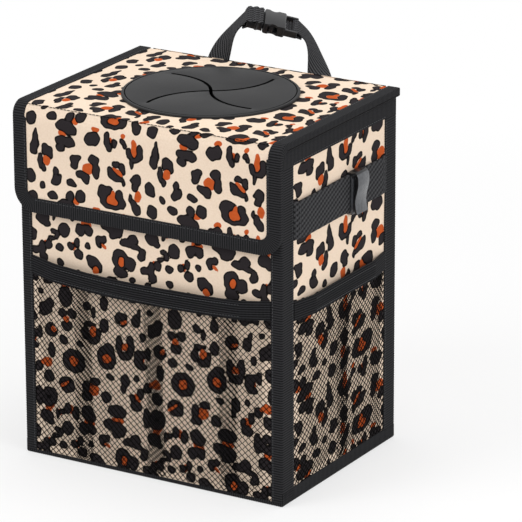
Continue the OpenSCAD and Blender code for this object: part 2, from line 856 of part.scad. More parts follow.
front_panel();
back_panel();
side_panel(-1);  // left_panel
side_panel(1);  // right_panel
bottom_panel();
front_back_board(-1);  // front_board
front_back_board(1);  // back_board
side_board(-1);  // left_board
side_board(1);  // right_board
bottom_board();
liner();
corner_binding(-1, -1);  // front_left_binding
corner_binding(1, -1);  // front_right_binding
corner_binding(-1, 1);  // back_left_binding
corner_binding(1, 1);  // back_right_binding
rim_binding();
base_binding();
front_pocket_net();
side_pocket_net(-1);  // left_pocket_net
side_pocket_net(1);  // right_pocket_net
front_elastic();
side_elastic(-1);  // left_elastic
side_elastic(1);  // right_elastic
side_webbing(-1);  // left_webbing
side_webbing(1);  // right_webbing
clip(-1);  // left_clip
clip(1);  // right_clip
strap(-1);  // strap_left
strap(1);  // strap_right
buckle_plug();
buckle_socket();
front_loop_strip();
lid_cover();
lid_board();
lid_lining();
lid_binding(-1);  // lid_binding_left
lid_binding(1);  // lid_binding_right
slit_disc();
flap_cover();
flap_board();
flap_lining();
flap_binding();
flap_hook_strip();
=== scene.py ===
"""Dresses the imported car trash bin: printed cloth, ribbed bindings, pocket nets, clips and hanging strap."""
import math

import bmesh
import bpy
import numpy as np
from mathutils import Matrix, Vector


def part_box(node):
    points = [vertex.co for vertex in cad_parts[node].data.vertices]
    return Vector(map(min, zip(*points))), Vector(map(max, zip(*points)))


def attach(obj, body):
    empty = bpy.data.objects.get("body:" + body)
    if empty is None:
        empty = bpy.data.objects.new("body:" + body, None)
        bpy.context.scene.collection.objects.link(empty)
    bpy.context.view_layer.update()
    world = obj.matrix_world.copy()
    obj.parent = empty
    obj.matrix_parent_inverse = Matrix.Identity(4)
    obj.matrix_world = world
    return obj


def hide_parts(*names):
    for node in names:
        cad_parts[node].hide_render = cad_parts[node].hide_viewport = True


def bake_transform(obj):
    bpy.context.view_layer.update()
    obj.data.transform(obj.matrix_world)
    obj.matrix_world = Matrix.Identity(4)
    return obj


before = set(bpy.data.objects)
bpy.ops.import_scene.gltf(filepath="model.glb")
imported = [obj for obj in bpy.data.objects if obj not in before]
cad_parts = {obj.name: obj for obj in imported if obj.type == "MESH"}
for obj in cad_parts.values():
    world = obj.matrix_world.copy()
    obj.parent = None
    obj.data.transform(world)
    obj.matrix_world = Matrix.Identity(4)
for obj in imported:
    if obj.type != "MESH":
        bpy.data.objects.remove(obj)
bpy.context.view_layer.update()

MM = 0.001

# Sizes in millimetres, in the CAD model's frame: X across, -Y to the front, Z up

SIDE_X = 117.0
FACE_Y = 87.0
TAPE_T = 0.8
SIDE_LEG, FRONT_LEG, LID_LEG, FLAP_LEG = 17.0, 9.0, 10.0, 11.5
STITCH_IN = 1.6
CORNER_R = 1.6
WALL_LOW = 0.8
WALL_TOP = 282.7
RIM_LOW = 269.0
RIM_TOP = 283.5
LID_X = 119.2
LID_LOW = 283.9
LID_TOP = 289.1
LID_BACK_Y = 89.0
BEND_R = 10.0
BEND_Y = -82.6
CREASE_Z = 279.1
FLAP_Y = -92.6
FLAP_BACK_Y = -89.2
FLAP_LOW = 203.1
FLAP_CORNER_R = 18.0
DISC_Y = 3.5
DISC_HOLE_R = 62.5
GROOVE_R = 66.8
SEAM_V = 289.5
DISC_TOP = 291.3
TONGUE_X = 122.8
POCKET_TOP = 161.0
ELASTIC_H = 15.0
ELASTIC_T = 1.8
FRONT_STAND, SIDE_STAND = 5.2, 4.7
FRONT_RUN = 216.0
SIDE_RUN = 140.0
POCKET_RAMP = 24.0
POCKET_FOOT = 18.0
WEB_LOW, WEB_TOP = 210.0, 240.0
WEB_RAMP, WEB_OUT, WEB_T = 8.0, 1.9, 1.6
WEB_STEP = 0.7
RIB_PITCH, RIB = 1.0, 0.1
NET_PITCH_X, NET_PITCH_Z, YARN_R = 5.15, 5.0, 0.43
PANEL_STEP, PANEL_CLOTH_T = 1.6, 1.1
COVER_STEP = 1.2
LID_RUN = LID_BACK_Y - 1 - BEND_Y
SEAM_Y, SEAM_Z = -89.3, 288.75
STITCH_PITCH, TIGHT_PITCH = 3.2, 2.6

# How much of a net's area is yarn, the parts of a small round corner, and the lid print's stretch

YARN_SHARE, CORNER_PARTS, PRINT_SCALE = 0.6, 3, 0.985

FRONT, RIGHT, BACK, LEFT = (
    ((1, 0, 0), (0, -1, 0), FACE_Y),
    ((0, 1, 0), (1, 0, 0), SIDE_X),
    ((-1, 0, 0), (0, 1, 0), FACE_Y),
    ((0, -1, 0), (-1, 0, 0), SIDE_X),
)


def on_side(side, across, up, out):
    """Places panel points, given across, up and out of one side's face."""
    along, normal, reach = (np.array(side[0], float), np.array(side[1], float), side[2])
    across, up, out = (part[..., None] for part in np.broadcast_arrays(across, up, out))
    return across * along + (out + reach) * normal + up * np.array([0, 0, 1.0])


def place(name, data):
    made = bpy.data.objects.new(name, data)
    bpy.context.scene.collection.objects.link(made)
    return made


# Camera, light and floor

def set_camera():
    azimuth, elevation, roll = (math.radians(angle) for angle in (31.79, 18.82, -0.47))
    distance, pixels_per_m, picture_px = 3.1975, 1275.0, 522.0
    target, target_px = Vector((0, 0, 0.150)), (209.86, 264.84)
    back = Vector((math.sin(azimuth) * math.cos(elevation), -math.cos(azimuth) * math.cos(elevation),
                   math.sin(elevation)))
    right = Vector((math.cos(azimuth), math.sin(azimuth), 0))
    up = back.cross(right)
    right, up = (right * math.cos(roll) + up * math.sin(roll), up * math.cos(roll) - right * math.sin(roll))
    eye = target + back * distance
    # The object stands left of the middle of the picture, so the camera looks to its right
    middle = picture_px / 2
    aim = target + (right * (middle - target_px[0]) + up * (target_px[1] - middle)) / pixels_per_m
    z = (eye - aim).normalized()
    x = (right - z * right.dot(z)).normalized()
    data = bpy.data.cameras.new("camera")
    data.sensor_width = 36.0
    data.lens = pixels_per_m * distance / picture_px * data.sensor_width
    data.clip_start, data.clip_end = 0.1, 30.0
    bpy.context.scene.camera = place("camera", data)
    bpy.context.scene.camera.matrix_world = (Matrix.Translation(eye)
                                             @ Matrix((x, z.cross(x), z)).transposed().to_4x4())


def add(tree, kind, inputs=(), **settings):
    """Adds a shader node; an input that is given a socket is linked to it."""
    made = tree.nodes.new("ShaderNode" + kind)
    for key, value in settings.items():
        setattr(made, key, value)
    for key, value in dict(inputs).items():
        if isinstance(value, bpy.types.NodeSocket):
            tree.links.new(value, made.inputs[key])
        else:
            made.inputs[key].default_value = value
    return made


def linear(r, g, b):
    """A colour that is written in 0-255 display values."""
    def channel(c):
        c /= 255
        return c / 12.92 if c <= 0.04045 else ((c + 0.055) / 1.055) ** 2.4
    return (channel(r), channel(g), channel(b), 1.0)


def seen_directly(tree):
    """1 for camera, glossy and transmission rays."""
    rays = add(tree, "LightPath").outputs
    some = math_node(tree, "MAXIMUM", rays["Is Camera Ray"], rays["Is Glossy Ray"])
    return math_node(tree, "MAXIMUM", some, rays["Is Transmission Ray"])


def set_light():
    world = bpy.data.worlds.new("studio")
    world.use_nodes = True
    tree = world.node_tree
    tree.nodes.clear()
    strength = spread(tree, seen_directly(tree), 0, 1, 0.55, 1.0)
    sky = add(tree, "Background", {"Color": (1, 1, 1, 1), "Strength": strength})
    tree.links.new(sky.outputs[0], add(tree, "OutputWorld").inputs[0])
    bpy.context.scene.world = world
    for name, at, size, power in (
        ("key", (-0.9, -1.5, 1.6), 1.2, 17.0),
        ("top", (0.1, 0.2, 2.2), 1.4, 18.0),
        ("fill", (1.9, -0.5, 0.9), 1.2, 16.0),
    ):
        data = bpy.data.lights.new(name, "AREA")
        data.shape, data.size, data.energy = "DISK", size, power
        aim = Vector((0, 0, 0.16)) - Vector(at)
        turn = aim.to_track_quat("-Z", "Y").to_matrix().to_4x4()
        place(name, data).matrix_world = Matrix.Translation(at) @ turn


def set_floor():
    material = bpy.data.materials.new("floor_paper")
    material.use_nodes = True
    tree = material.node_tree
    tree.nodes.clear()
    reach = add(tree, "VectorMath", {0: add(tree, "TexCoord").outputs["Object"]}, operation="LENGTH")
    far = spread(tree, reach.outputs["Value"], 0.25, 0.9, 0.62, 1.0)
    bare = math_node(tree, "MULTIPLY", seen_directly(tree), far)
    paper = add(tree, "BsdfDiffuse", {"Color": (0.86, 0.86, 0.86, 1)})
    glow = add(tree, "Emission", {"Color": (1, 1, 1, 1), "Strength": 1.0})
    both = add(tree, "MixShader", {0: bare, 1: paper.outputs[0], 2: glow.outputs[0]})
    tree.links.new(both.outputs[0], add(tree, "OutputMaterial").inputs[0])
    mesh = bpy.data.meshes.new("floor")
    radius, sides = 1.6, 96
    ring = [(radius * math.cos(a), radius * math.sin(a), -0.0005)
            for a in np.linspace(0, 2 * np.pi, sides, endpoint=False)]
    mesh.from_pydata(ring, [], [list(range(sides))])
    mesh.materials.append(material)
    place("floor", mesh)


# Materials

def new_material(name, colour, roughness, build, **values):
    """A principled material; build(tree) gives its colour, bump height and bump distance in metres."""
    material = bpy.data.materials.new(name)
    material.use_nodes = True
    tree = material.node_tree
    surface = next(n for n in tree.nodes if n.type == "BSDF_PRINCIPLED")
    surface.inputs["Base Color"].default_value = colour
    surface.inputs["Roughness"].default_value = roughness
    for key, value in values.items():
        surface.inputs[key.replace("_", " ")].default_value = value
    shade, height, distance = build(tree)
    tree.links.new(shade, surface.inputs["Base Color"])
    bump = add(tree, "Bump", {"Height": height, "Distance": distance, "Strength": 1.0})
    tree.links.new(bump.outputs[0], surface.inputs["Normal"])
    return material


def noise(tree, scale, detail):
    where = add(tree, "TexCoord").outputs["Object"]
    return add(tree, "TexNoise", {"Scale": scale, "Detail": detail, "Vector": where}).outputs[0]


def math_node(tree, operation, a, b=0.0):
    return add(tree, "Math", {0: a, 1: b}, operation=operation).outputs[0]


def spread(tree, value, low, high, to_low=0.0, to_high=1.0, smooth=False):
    return add(tree, "MapRange", {0: value, 1: low, 2: high, 3: to_low, 4: to_high},
               interpolation_type="SMOOTHSTEP" if smooth else "LINEAR").outputs[0]


def mixed(tree, share, a, b, blend="MIX"):
    made = add(tree, "Mix", {0: share}, data_type="RGBA", blend_type=blend)
    for index, value in ((6, a), (7, b)):
        if isinstance(value, bpy.types.NodeSocket):
            tree.links.new(value, made.inputs[index])
        else:
            made.inputs[index].default_value = value
    return made.outputs[2]


def weave(tree, per_m):
    """Plain weave in the object's own place: the crossing of three wave trains, 0 to 1."""
    where = add(tree, "SeparateXYZ", {0: add(tree, "TexCoord").outputs["Object"]})
    waves = [math_node(tree, "SINE", math_node(tree, "MULTIPLY", where.outputs[i], per_m * 2 * math.pi))
             for i in range(3)]
    sum_two = math_node(tree, "ADD", waves[0], waves[1])
    return spread(tree, math_node(tree, "ADD", sum_two, waves[2]), -3, 3)


def woven(tree, height, weave_per_m):
    return math_node(tree, "ADD", height, weave(tree, weave_per_m)) if weave_per_m else height


def speckled(base, dark, scale, bump_scale, distance, weave_per_m=None):
    """Two tones mixed by fine noise, with a bump of its own."""
    def build(tree):
        shade = mixed(tree, noise(tree, scale, 4.0), linear(*dark), linear(*base))
        return shade, woven(tree, noise(tree, bump_scale, 3.0), weave_per_m), distance
    return build


def ribbed_cloth_painted_shade(low, high, scale=900, weave_per_m=None):
    """Woven bands, whose ribs are painted lighter than the grooves between them and whose grain is painted lighter
    where its bump is high: painted highlight and painted shade.
    """
    def build(tree):
        rib = add(tree, "Attribute", attribute_name="rib").outputs["Fac"]
        grain = noise(tree, scale, 4.0)
        # The rib tone and the grain raise the light colour's share: painted highlight on the raised parts, painted
        # shade in the hollows
        share = math_node(tree, "ADD", spread(tree, rib, 0.2, 0.8, 0, 0.85), spread(tree, grain, 0.3, 0.7, 0, 0.25))
        height = woven(tree, grain, weave_per_m)
        return mixed(tree, share, linear(*low), linear(*high)), height, 0.00012
    return build


BEIGE, SPOT, SPOT_2 = linear(238, 218, 198), linear(36, 32, 34), linear(50, 46, 48)


def build_print(tree):
    grain = noise(tree, 1500, 3.0)
    wobble = spread(tree, noise(tree, 500, 2.0), 0, 1, -0.2, 0.2)
    rust, dark = (math_node(tree, "ADD", add(tree, "Attribute", attribute_name=name).outputs["Fac"], wobble)
                  for name in ("rust", "dark"))
    ground = mixed(tree, spread(tree, noise(tree, 700, 4.0), 0.3, 0.7, 0.0, 0.5), BEIGE, linear(224, 200, 173))
    orange = mixed(tree, noise(tree, 320, 4.0), linear(172, 72, 30), linear(204, 96, 46))
    ink = mixed(tree, spread(tree, dark, 0.7, 1.4, smooth=True), linear(12, 10, 10), mixed(tree, grain, SPOT, SPOT_2))
    printed = mixed(tree, spread(tree, rust, -0.25, 0.25, smooth=True), ground, orange)
    shade = mixed(tree, spread(tree, dark, -0.25, 0.25, smooth=True), printed, ink)
    # The weave darkens the colour a little where its bump is low: painted shade in the weave's hollows
    threads = weave(tree, 1100)
    shade = mixed(tree, 0.10, shade, mixed(tree, threads, linear(120, 110, 100), linear(255, 250, 245)), "MULTIPLY")
    return shade, math_node(tree, "ADD", threads, grain), 0.00012


def make_materials():
    """The materials by their keys, in rows of name, plain colour, roughness, specular level and build."""
    black, grey = (3, 3, 4), (47, 47, 49)
    rows = {
        # The tapes, elastic and webbing get painted highlight on their ribs and painted shade in their grooves
        "tape": ("binding_tape", grey, 0.8, 0.1, ribbed_cloth_painted_shade(black, grey)),
        "elastic": ("elastic_band", grey, 0.75, 0.08, ribbed_cloth_painted_shade(black, (41, 41, 43), 700)),
        "webbing": ("webbing", grey, 0.75, 0.06, ribbed_cloth_painted_shade((1, 1, 2), (72, 72, 74), 1000, 900)),
        "net": ("net_yarn", black, 0.8, 0.08, speckled((12, 11, 11), (5, 5, 5), 900, 2200, 0.00005)),
        "rubber": ("soft_rubber", grey, 0.55, 0.16, speckled((38, 38, 39), (31, 31, 32), 60, 2600, 0.00003)),
        "plastic": ("moulded_plastic", grey, 0.3, 0.35, speckled((30, 30, 32), (22, 22, 24), 140, 1500, 0.00002)),
        # A lighter plastic for some faces of the clips: painted highlight, with a real lower roughness
        "highlight_plastic": ("plastic_painted_highlight", grey, 0.22, 0.6, speckled((88, 90, 94), (40, 41, 44), 300, 700, 0.00008)),
        # A near-black rubber for the disc's slits and groove: painted shade in these recesses
        "shade_rubber": ("rubber_painted_shade", black, 0.9, 0.1, speckled((9, 9, 9), (4, 4, 4), 300, 2600, 0.00003)),
        "liner": ("coated_liner", (70, 71, 74), 0.42, 0.5,
                  speckled((74, 75, 78), (58, 59, 62), 90, 300, 0.0004, 500)),
        "lining": ("lining_cloth", (46, 47, 49), 0.8, 0.3,
                   speckled((52, 53, 55), (36, 37, 39), 300, 900, 0.0002, 700)),
        "bottom": ("bottom_cloth", (40, 40, 42), 0.82, 0.3,
                   speckled((46, 46, 48), (30, 30, 32), 300, 900, 0.0002, 600)),
        "board": ("grey_board", (150, 144, 134), 0.9, 0.5,
                  speckled((158, 151, 140), (128, 122, 113), 500, 900, 0.0002)),
        "thread": ("thread", (60, 61, 64), 0.6, 0.5, speckled((70, 71, 74), (44, 45, 48), 1500, 3000, 0.00005)),
        "fuzz": ("fastener_loops", (24, 24, 26), 0.95, 0.5,
                 speckled((38, 38, 40), (14, 14, 15), 1600, 1800, 0.0004)),
    }
    made = {key: new_material(name, linear(*colour), roughness, build, Specular_IOR_Level=specular,
                              Sheen_Weight=0.4 if key == "fuzz" else 0.0)
            for key, (name, colour, roughness, specular, build) in rows.items()}
    made["print"] = new_material("printed_cloth", BEIGE, 0.88, build_print, Specular_IOR_Level=0.06)
    return made


# Leopard print: every spot is a few joined ellipses (x, y, half width, half height, turn) on a repeating tile

TILE_W, TILE_H, TILE_SKEW = 112.0, 64.0, 7.0
DARK = (
    (-103, 280, 5, 5.6), (-84, 284.5, 5, 3.6), (-101, 256, 4, 5.5), (-99.5, 263, 3, 6), (-98.5, 268.5, 1.6, 4.5),
    (-96.5, 261, 1.2, 2.5), (-89.5, 256.5, 4.2, 5.5), (-85.5, 254.5, 3, 5.5), (-95, 247, 2.6, 6.5),
    (-92, 241.5, 2.4, 3.6), (-80.5, 241, 2.8, 3.6), (-80, 234, 4.2, 4.6), (-76.5, 236.5, 1.8, 2.5),
    (-82.5, 231.5, 2.8, 3), (-93.5, 227.2, 3, 3.2), (-105, 234, 4.6, 5.5), (-103.5, 231.5, 4, 3.6),
    (-67.5, 222.5, 4, 4.6), (-57.5, 224, 5, 5.4), (-67, 234, 4, 3), (-64, 232.5, 3, 2.2), (-73.5, 266.5, 7.5, 4),
    (-67, 266, 5.5, 4.5), (-75.5, 260.5, 4.5, 3.6), (-71.5, 278.5, 8.5, 5), (-66, 276, 6.5, 4.5),
    (-62.5, 252.5, 4.5, 4.2), (-59.5, 255, 3.4, 2.4), (-63, 248, 3.4, 3), (-44.5, 255.5, 5.2, 4.3),
    (-42.5, 247, 3.8, 6.5), (-57, 242, 5, 3.2), (-52, 238.5, 3.5, 3.5), (-53, 241, 4.5, 3.5), (-48, 271.5, 5.2, 5.5),
    (-43, 273, 4.6, 5.8), (-32, 274, 3, 6.5), (-30, 267.5, 3, 3.5), (-25, 272, 2.6, 3.8), (-17.5, 274.5, 3, 2.6),
    (-15.5, 271.5, 1.8, 2.4), (-11.5, 266, 3, 4.5), (-6, 263.5, 5.5, 4), (-2, 268, 3.6, 6.5), (-9.5, 257.5, 1.8, 4),
    (-24, 255.5, 4, 2.8), (-18, 252.5, 3.2, 5), (-27, 247, 4.5, 4.6), (-22, 244.5, 5.5, 3), (-30, 250, 2.4, 2.8),
    (-17, 241.8, 1.6, 3), (-5, 246, 4.6, 5), (-6.5, 240, 3.6, 3.4), (-8.5, 245, 2.6, 1.6), (-36, 231, 5.5, 6.5),
    (-33, 225, 6.5, 5.5), (-31, 233.5, 5, 3.6), (-21.5, 230.5, 4.2, 5), (-19.5, 225, 4.4, 5), (-28, 221.5, 8, 3),
    (-11, 230.5, 1.8, 3.5), (-8, 226, 3, 4.5), (-5, 222, 4, 4.5),
)
RUST_OVER = (
    (-89, 248, 3.4, 4), (-7, 271, 2.4, 7), (-22, 249.5, 5.5, 1.6, -35), (-28.5, 226, 4.5, 3.6), (-27, 230.5, 2, 3.5),
    (-24.5, 224.5, 2, 1.5),
)
RUST_UNDER = (
    (-62, 219.5, 3.5, 2.5), (-73.5, 272.5, 4, 2.6), (-50, 247.5, 5.2, 4.6), (-43, 280, 3.6, 2),
    (-28.3, 272.5, 1.8, 3.2), (-17, 279, 1.8, 2), (-4, 233, 3, 4.6),
)


# The print of the bin's body, in the front panel's own places

BODY_W, BODY_H = 101.5, 164.0
BODY_DARK = (
    (4, 199, 6.5, 5.5), (8, 195, 3.5, 3), (6, 211, 5, 4), (14.5, 203, 1.8, 4.5), (18.5, 205, 2.6, 2.5),
    (14, 190, 3, 2.4), (17, 187, 2.5, 4), (12, 184, 3.5, 2), (24, 192.5, 5.6, 6.2), (31, 205, 2.8, 3.6),
    (39, 195, 4.6, 5), (47, 196, 4.2, 4.8), (43, 198, 4, 2.5), (43, 210, 6, 5.5), (46, 183.5, 2.8, 3),
    (57, 189, 4, 5.2), (61, 191.5, 3.2, 3.4), (64, 204, 6.4, 4.8), (73, 200, 6, 5), (70, 196.5, 4.2, 3.2),
    (88, 196, 5, 4.4), (82, 192.5, 6.5, 3.6), (90.5, 190.5, 5, 2.6), (76, 178, 7.5, 8.8), (85, 176, 5.6, 6),
    (75, 168, 5.5, 5), (79, 167, 4, 3.5), (95.5, 188, 2.6, 3.2), (95, 183.5, 3.2, 3.6), (98, 185.5, 1.8, 4.6),
    (-3, 172, 4.6, 3.4), (3, 174, 3.2, 7), (9, 178, 3.6, 4.2), (4.5, 167, 4.2, 4), (19.5, 177.5, 4, 3.4),
    (20, 165.5, 3.6, 3.2), (30, 180.5, 3.4, 3.4), (36, 184, 2.8, 4.2), (37.5, 175, 4.6, 4.2),
    (52, 170, 8.6, 5.6, -38), (87, 163.5, 3.2, 2.6), (24, 138, 6.6, 8.6), (9, 130, 4.4, 4.2), (5, 125, 6.4, 5.4),
    (2, 121, 3, 3), (1, 138.5, 3, 2.5), (-12, 129, 4.4, 5.4), (-9, 136, 2, 4), (76, 129, 6.4, 6), (60, 139, 4, 6),
    (44, 134, 3.8, 3.8), (50, 130, 2.2, 5), (21, 124, 4.2, 3.8), (30, 125, 4.4, 4.2), (25, 114.5, 5.4, 5),
    (60, 121, 4.4, 6), (42, 112, 3.8, 5.6), (50, 108, 6, 4.4), (54, 113, 3.4, 4.4), (47, 119.5, 6, 2.6),
    (-6, 117, 3, 4), (-10, 98, 4.4, 8), (-6, 103, 5, 3.4), (-1, 104, 2.6, 5.6), (-6, 93, 4, 3), (74, 108, 3.6, 8),
    (84, 109, 4, 8.6), (79, 99.5, 6.4, 3.6), (10, 108, 6.2, 6), (21.5, 102, 4.4, 4), (37, 101.5, 3.6, 2.6),
    (31, 86, 11, 10), (62, 95, 9, 10), (64, 104, 5, 3.4), (10, 91, 3.6, 6.6), (-2, 76, 4, 4.6), (7, 69, 5, 5.4),
    (-12, 82, 2.8, 3), (79, 79, 4.4, 6), (77, 72, 2.6, 4), (65, 79.5, 4, 2.8), (24, 65, 7.6, 7), (42, 67, 3.8, 5.4),
    (43, 59, 5.4, 4), (51, 73, 5.2, 3.4), (61, 62, 5, 5), (93, 71, 3.2, 5), (89, 60, 5.6, 4.6), (85.5, 66, 2.8, 4),
    (-3, 51, 3.6, 8.6), (2, 50, 3, 6), (11, 53, 3.6, 7), (6, 56, 4.4, 4), (24, 45, 3.4, 5), (32, 43, 3.4, 6),
    (45, 43, 6.2, 5), (39, 32.5, 4, 4), (71, 52, 9, 5.6), (71, 38, 8.6, 5.4), (-9, 152, 4.4, 5), (-4, 149, 3, 3),
    (8, 150, 5, 4.4), (12, 155, 3.4, 4.6), (20, 158, 3, 2.6), (33, 151, 6.4, 4), (30, 156, 3.4, 5),
    (37, 157, 3.6, 5.4), (46, 149, 3, 4.6), (54, 156, 4.4, 5), (60, 150, 3.4, 4.6), (68, 156, 6.6, 7),
    (78, 150, 3, 4.6), (84, 155, 4.6, 4), (87, 148, 4, 3.4), (0, 160, 3, 3.2),
)
BODY_OVER = (
    (77, 176.5, 2.6, 4), (24.5, 119.5, 3, 2.6), (49.5, 114.5, 3, 4.4), (79, 107, 3, 3), (12, 109, 2.4, 2.4),
    (31, 86, 4, 4), (62, 94, 4, 3.6), (21.5, 65, 5.6, 1.2, 35), (1.5, 79.5, 2, 2), (61, 186, 3.4, 1.2, -35),
    (53, 165, 3, 3), (78, 127, 3.6, 1.4, 20), (68, 156, 2.8, 3.4),
)
BODY_UNDER = (
    (6, 206, 3, 4), (17, 204.5, 1.6, 3), (43, 203, 3.2, 3), (70, 208.5, 4.4, 2.6), (6, 178, 2.4, 3.4),
    (32.5, 181, 2.4, 3.2), (24, 146, 3.4, 2.4), (-7, 98.5, 2.6, 4), (6, 80.5, 4.4, 4), (49, 66, 5.4, 5),
    (89.5, 66.5, 4, 4), (33.5, 154, 3.6, 4.4), (57.5, 153, 3, 3.6), (10, 152.5, 3.6, 2.4), (7, 46, 4.4, 4.8),
    (28, 44.5, 1.8, 4), (45, 37, 5, 3), (73, 45, 4, 3.4),
)


def inside(ellipses, u, v, softness=0.55, tile=(TILE_W, TILE_H), skew=TILE_SKEW):
    """How far points lie inside a union of tiled ellipses, in millimetres, negative outside."""
    total = np.zeros(u.shape)
    for cx, cy, rx, ry, *turn in ellipses:
        column = np.floor((u - cx) / tile[0] + 0.5)
        du = u - cx - column * tile[0]
        dv = (v - cy - column * skew + tile[1] / 2) % tile[1] - tile[1] / 2
        if turn:
            c, s = math.cos(math.radians(turn[0])), math.sin(math.radians(turn[0]))
            du, dv = du * c + dv * s, dv * c - du * s
        near = np.hypot(du / rx, dv / ry)
        slope = np.maximum(np.hypot(du / rx ** 2, dv / ry ** 2), 1e-4)
        total += np.exp(-np.clip(near * (near - 1) / slope, -12, 30) / softness)
    return softness * np.log(np.maximum(total, 1e-12))


def two_masks(over, under, dark, u, v, **tiled):
    wave_u, wave_v = u + 0.35 * np.sin(v * 0.8 + 1.3 * np.sin(u * 0.4)), v + 0.35 * np.sin(u * 0.7)
    on_top = inside(over, wave_u, wave_v, **tiled)
    spots = np.minimum(inside(dark, wave_u, wave_v, **tiled) + 0.15, -on_top)
    return {"dark": spots, "rust": np.maximum(on_top, inside(under, wave_u, wave_v, **tiled)) + 0.25}


def leopard(u, v):
    """The lid's print: its two masks at places on the cloth, in millimetres."""
    return two_masks(RUST_OVER, RUST_UNDER, DARK, u, v)


def body_leopard(u, v):
    """The body's print, which is smaller and denser."""
    return two_masks(BODY_OVER, BODY_UNDER, BODY_DARK, u, v, tile=(BODY_W, BODY_H), skew=1.0, softness=0.25)


# Mesh making

def grid_faces(rows, columns, wrap_rows=False, wrap_columns=False):
    index = np.arange(rows * columns).reshape(rows, columns)
    if wrap_rows:
        index = np.vstack([index, index[:1]])
    if wrap_columns:
        index = np.hstack([index, index[:, :1]])
    return np.stack([index[:-1, :-1], index[:-1, 1:], index[1:, 1:], index[1:, :-1]], -1).reshape(-1, 4).tolist()


def declare(name, mesh, body, replaces=()):
    """Puts a mesh in the scene with the body it rides on and the CAD nodes it replaces."""
    made = place(name, mesh)
    if body:
        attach(made, body)
    if replaces:
        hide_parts(*replaces)
    return made


def piece(name, points, faces, body, material, slot, replaces=(), attributes=None, sharp=35.0):
    """Makes one piece of the scene from points in millimetres."""
    mesh = bpy.data.meshes.new(name)
    mesh.from_pydata((np.asarray(points, float).reshape(-1, 3) * MM).tolist(), [], faces)
    mesh.materials.append(materials[material])
    mesh.polygons.foreach_set("use_smooth", [True] * len(mesh.polygons))
    mesh.set_sharp_from_angle(angle=math.radians(sharp))
    for key, values in (attributes or {}).items():
        mesh.attributes.new(key, "FLOAT", "POINT").data.foreach_set("value", np.ravel(values).astype(float))
    mesh.validate()
    mesh.update()
    return declare(name, mesh, body, replaces)


def closed_sheet(front, normal, thickness, attributes=None, ngon=True):
    """Points, faces and attributes of a sheet with a skirt round its edge and one flat face behind."""
    index = np.arange(front[..., 0].size).reshape(front.shape[:2])
    edge = np.concatenate([index[0, :-1], index[:-1, -1], index[-1, :0:-1], index[:0:-1, 0]]).tolist()
    points = front.reshape(-1, 3)
    first, count = len(points), len(edge)
    faces = grid_faces(*front.shape[:2])
    faces += [[edge[(i + 1) % count], edge[i], first + i, first + (i + 1) % count] for i in range(count)]
    if ngon:
        faces.append([first + i for i in range(count)][::-1])
    values = {key: np.concatenate([np.ravel(value), np.ravel(value)[edge]])
              for key, value in (attributes or {}).items()}
    return np.vstack([points, points[edge] - np.asarray(normal, float) * thickness]), faces, values


def backed(name, front, normal, thickness, *looks, values=None, ngon=True, **rest):
    """A piece from a grid of front points, with its edge and back."""
    points, faces, values = closed_sheet(front, normal, thickness, values, ngon)
    return piece(name, points, faces, *looks, attributes=values, **rest)


def ease(distance, width):
    """0 at an edge, rising to 1 at the given width from it."""
    return np.clip(distance / width, 0, 1)


def joined(*parts):
    """Points from their three coordinates, each an array or a number."""
    return np.stack(np.broadcast_arrays(*parts), -1)


def steps(low, high, size):
    return np.linspace(low, high, max(2, round((high - low) / size) + 1))


def box_mm(node):
    return (np.array(corner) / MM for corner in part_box(node))


def through(knots, count):
    """Places along the straight lines between knots, the same number in each."""
    knots = np.array(knots)
    t = np.linspace(0, len(knots) - 1, count)
    return np.column_stack([np.interp(t, np.arange(len(knots)), column) for column in knots.T])


def wander(u, v, scale, seed):
    """Gentle waves between -1 and 1 that don't repeat soon."""
    return (np.sin(u / scale + 1.7 * np.sin(v / scale * 0.7 + seed)) + np.sin(v / scale * 1.1 + seed * 2.1
            + 1.3 * np.sin(u / scale * 0.6 + seed)) + np.sin((u + v) / scale * 0.55 + seed * 0.7)) / 3


def loft(rings, wrap_along=False):
    """Faces of a tube through rings of points, closed at its ends."""
    count, around = rings.shape[:2]
    faces = grid_faces(count, around, wrap_along, True)
    if not wrap_along:
        faces.append(list(range(around)))
        faces.append([(count - 1) * around + i for i in range(around)][::-1])
    return faces


def ribbed(rings, height, wrap_along=False):
    """Rings moved out and in by turns, as the cross ribs of a woven tape."""
    along = np.roll(rings, -1, 0) - np.roll(rings, 1, 0)
    if not wrap_along:
        along[0], along[-1] = rings[1] - rings[0], rings[-1] - rings[-2]
    around = np.roll(rings, -1, 1) - np.roll(rings, 1, 1)
    normal = np.cross(around, along)
    normal /= np.maximum(np.linalg.norm(normal, axis=-1, keepdims=True), 1e-9)
    turn = np.where(np.arange(len(rings)) % 2, 1.0, -1.0)[:, None, None]
    return rings + normal * turn * height


def tube(name, rings, body, material, slot, wrap_along=False, rib=0.0, tones=None, **rest):
    # Unless tones are given, the rib tone alternates ring by ring with the rib relief: painted highlight and painted
    # shade on the ribs
    turns = np.broadcast_to((np.arange(len(rings)) % 2)[:, None], rings.shape[:2]) if tones is None else tones
    if rib:
        rings = ribbed(rings, rib, wrap_along)
    return piece(name, rings, loft(rings, wrap_along), body, material, slot, attributes={"rib": turns}, **rest)


# Printed panels

def panel(name, side, half, seed, print_at, masks=body_leopard):
    across, up = np.meshgrid(steps(-half, half, PANEL_STEP), steps(WALL_LOW, WALL_TOP, PANEL_STEP))
    rise = ease(np.minimum(half - np.abs(across), np.minimum(up - WALL_LOW, WALL_TOP - up)), 14)
    out = rise * 0.3 * wander(across, up, 13, seed) - 0.1 * (1 - rise)
    made = backed(name + "_cloth", on_side(side, across, up, out), side[1], PANEL_CLOTH_T, "root", "print",
                  "print_cloth", (name,), values=masks(*print_at(across, up)))


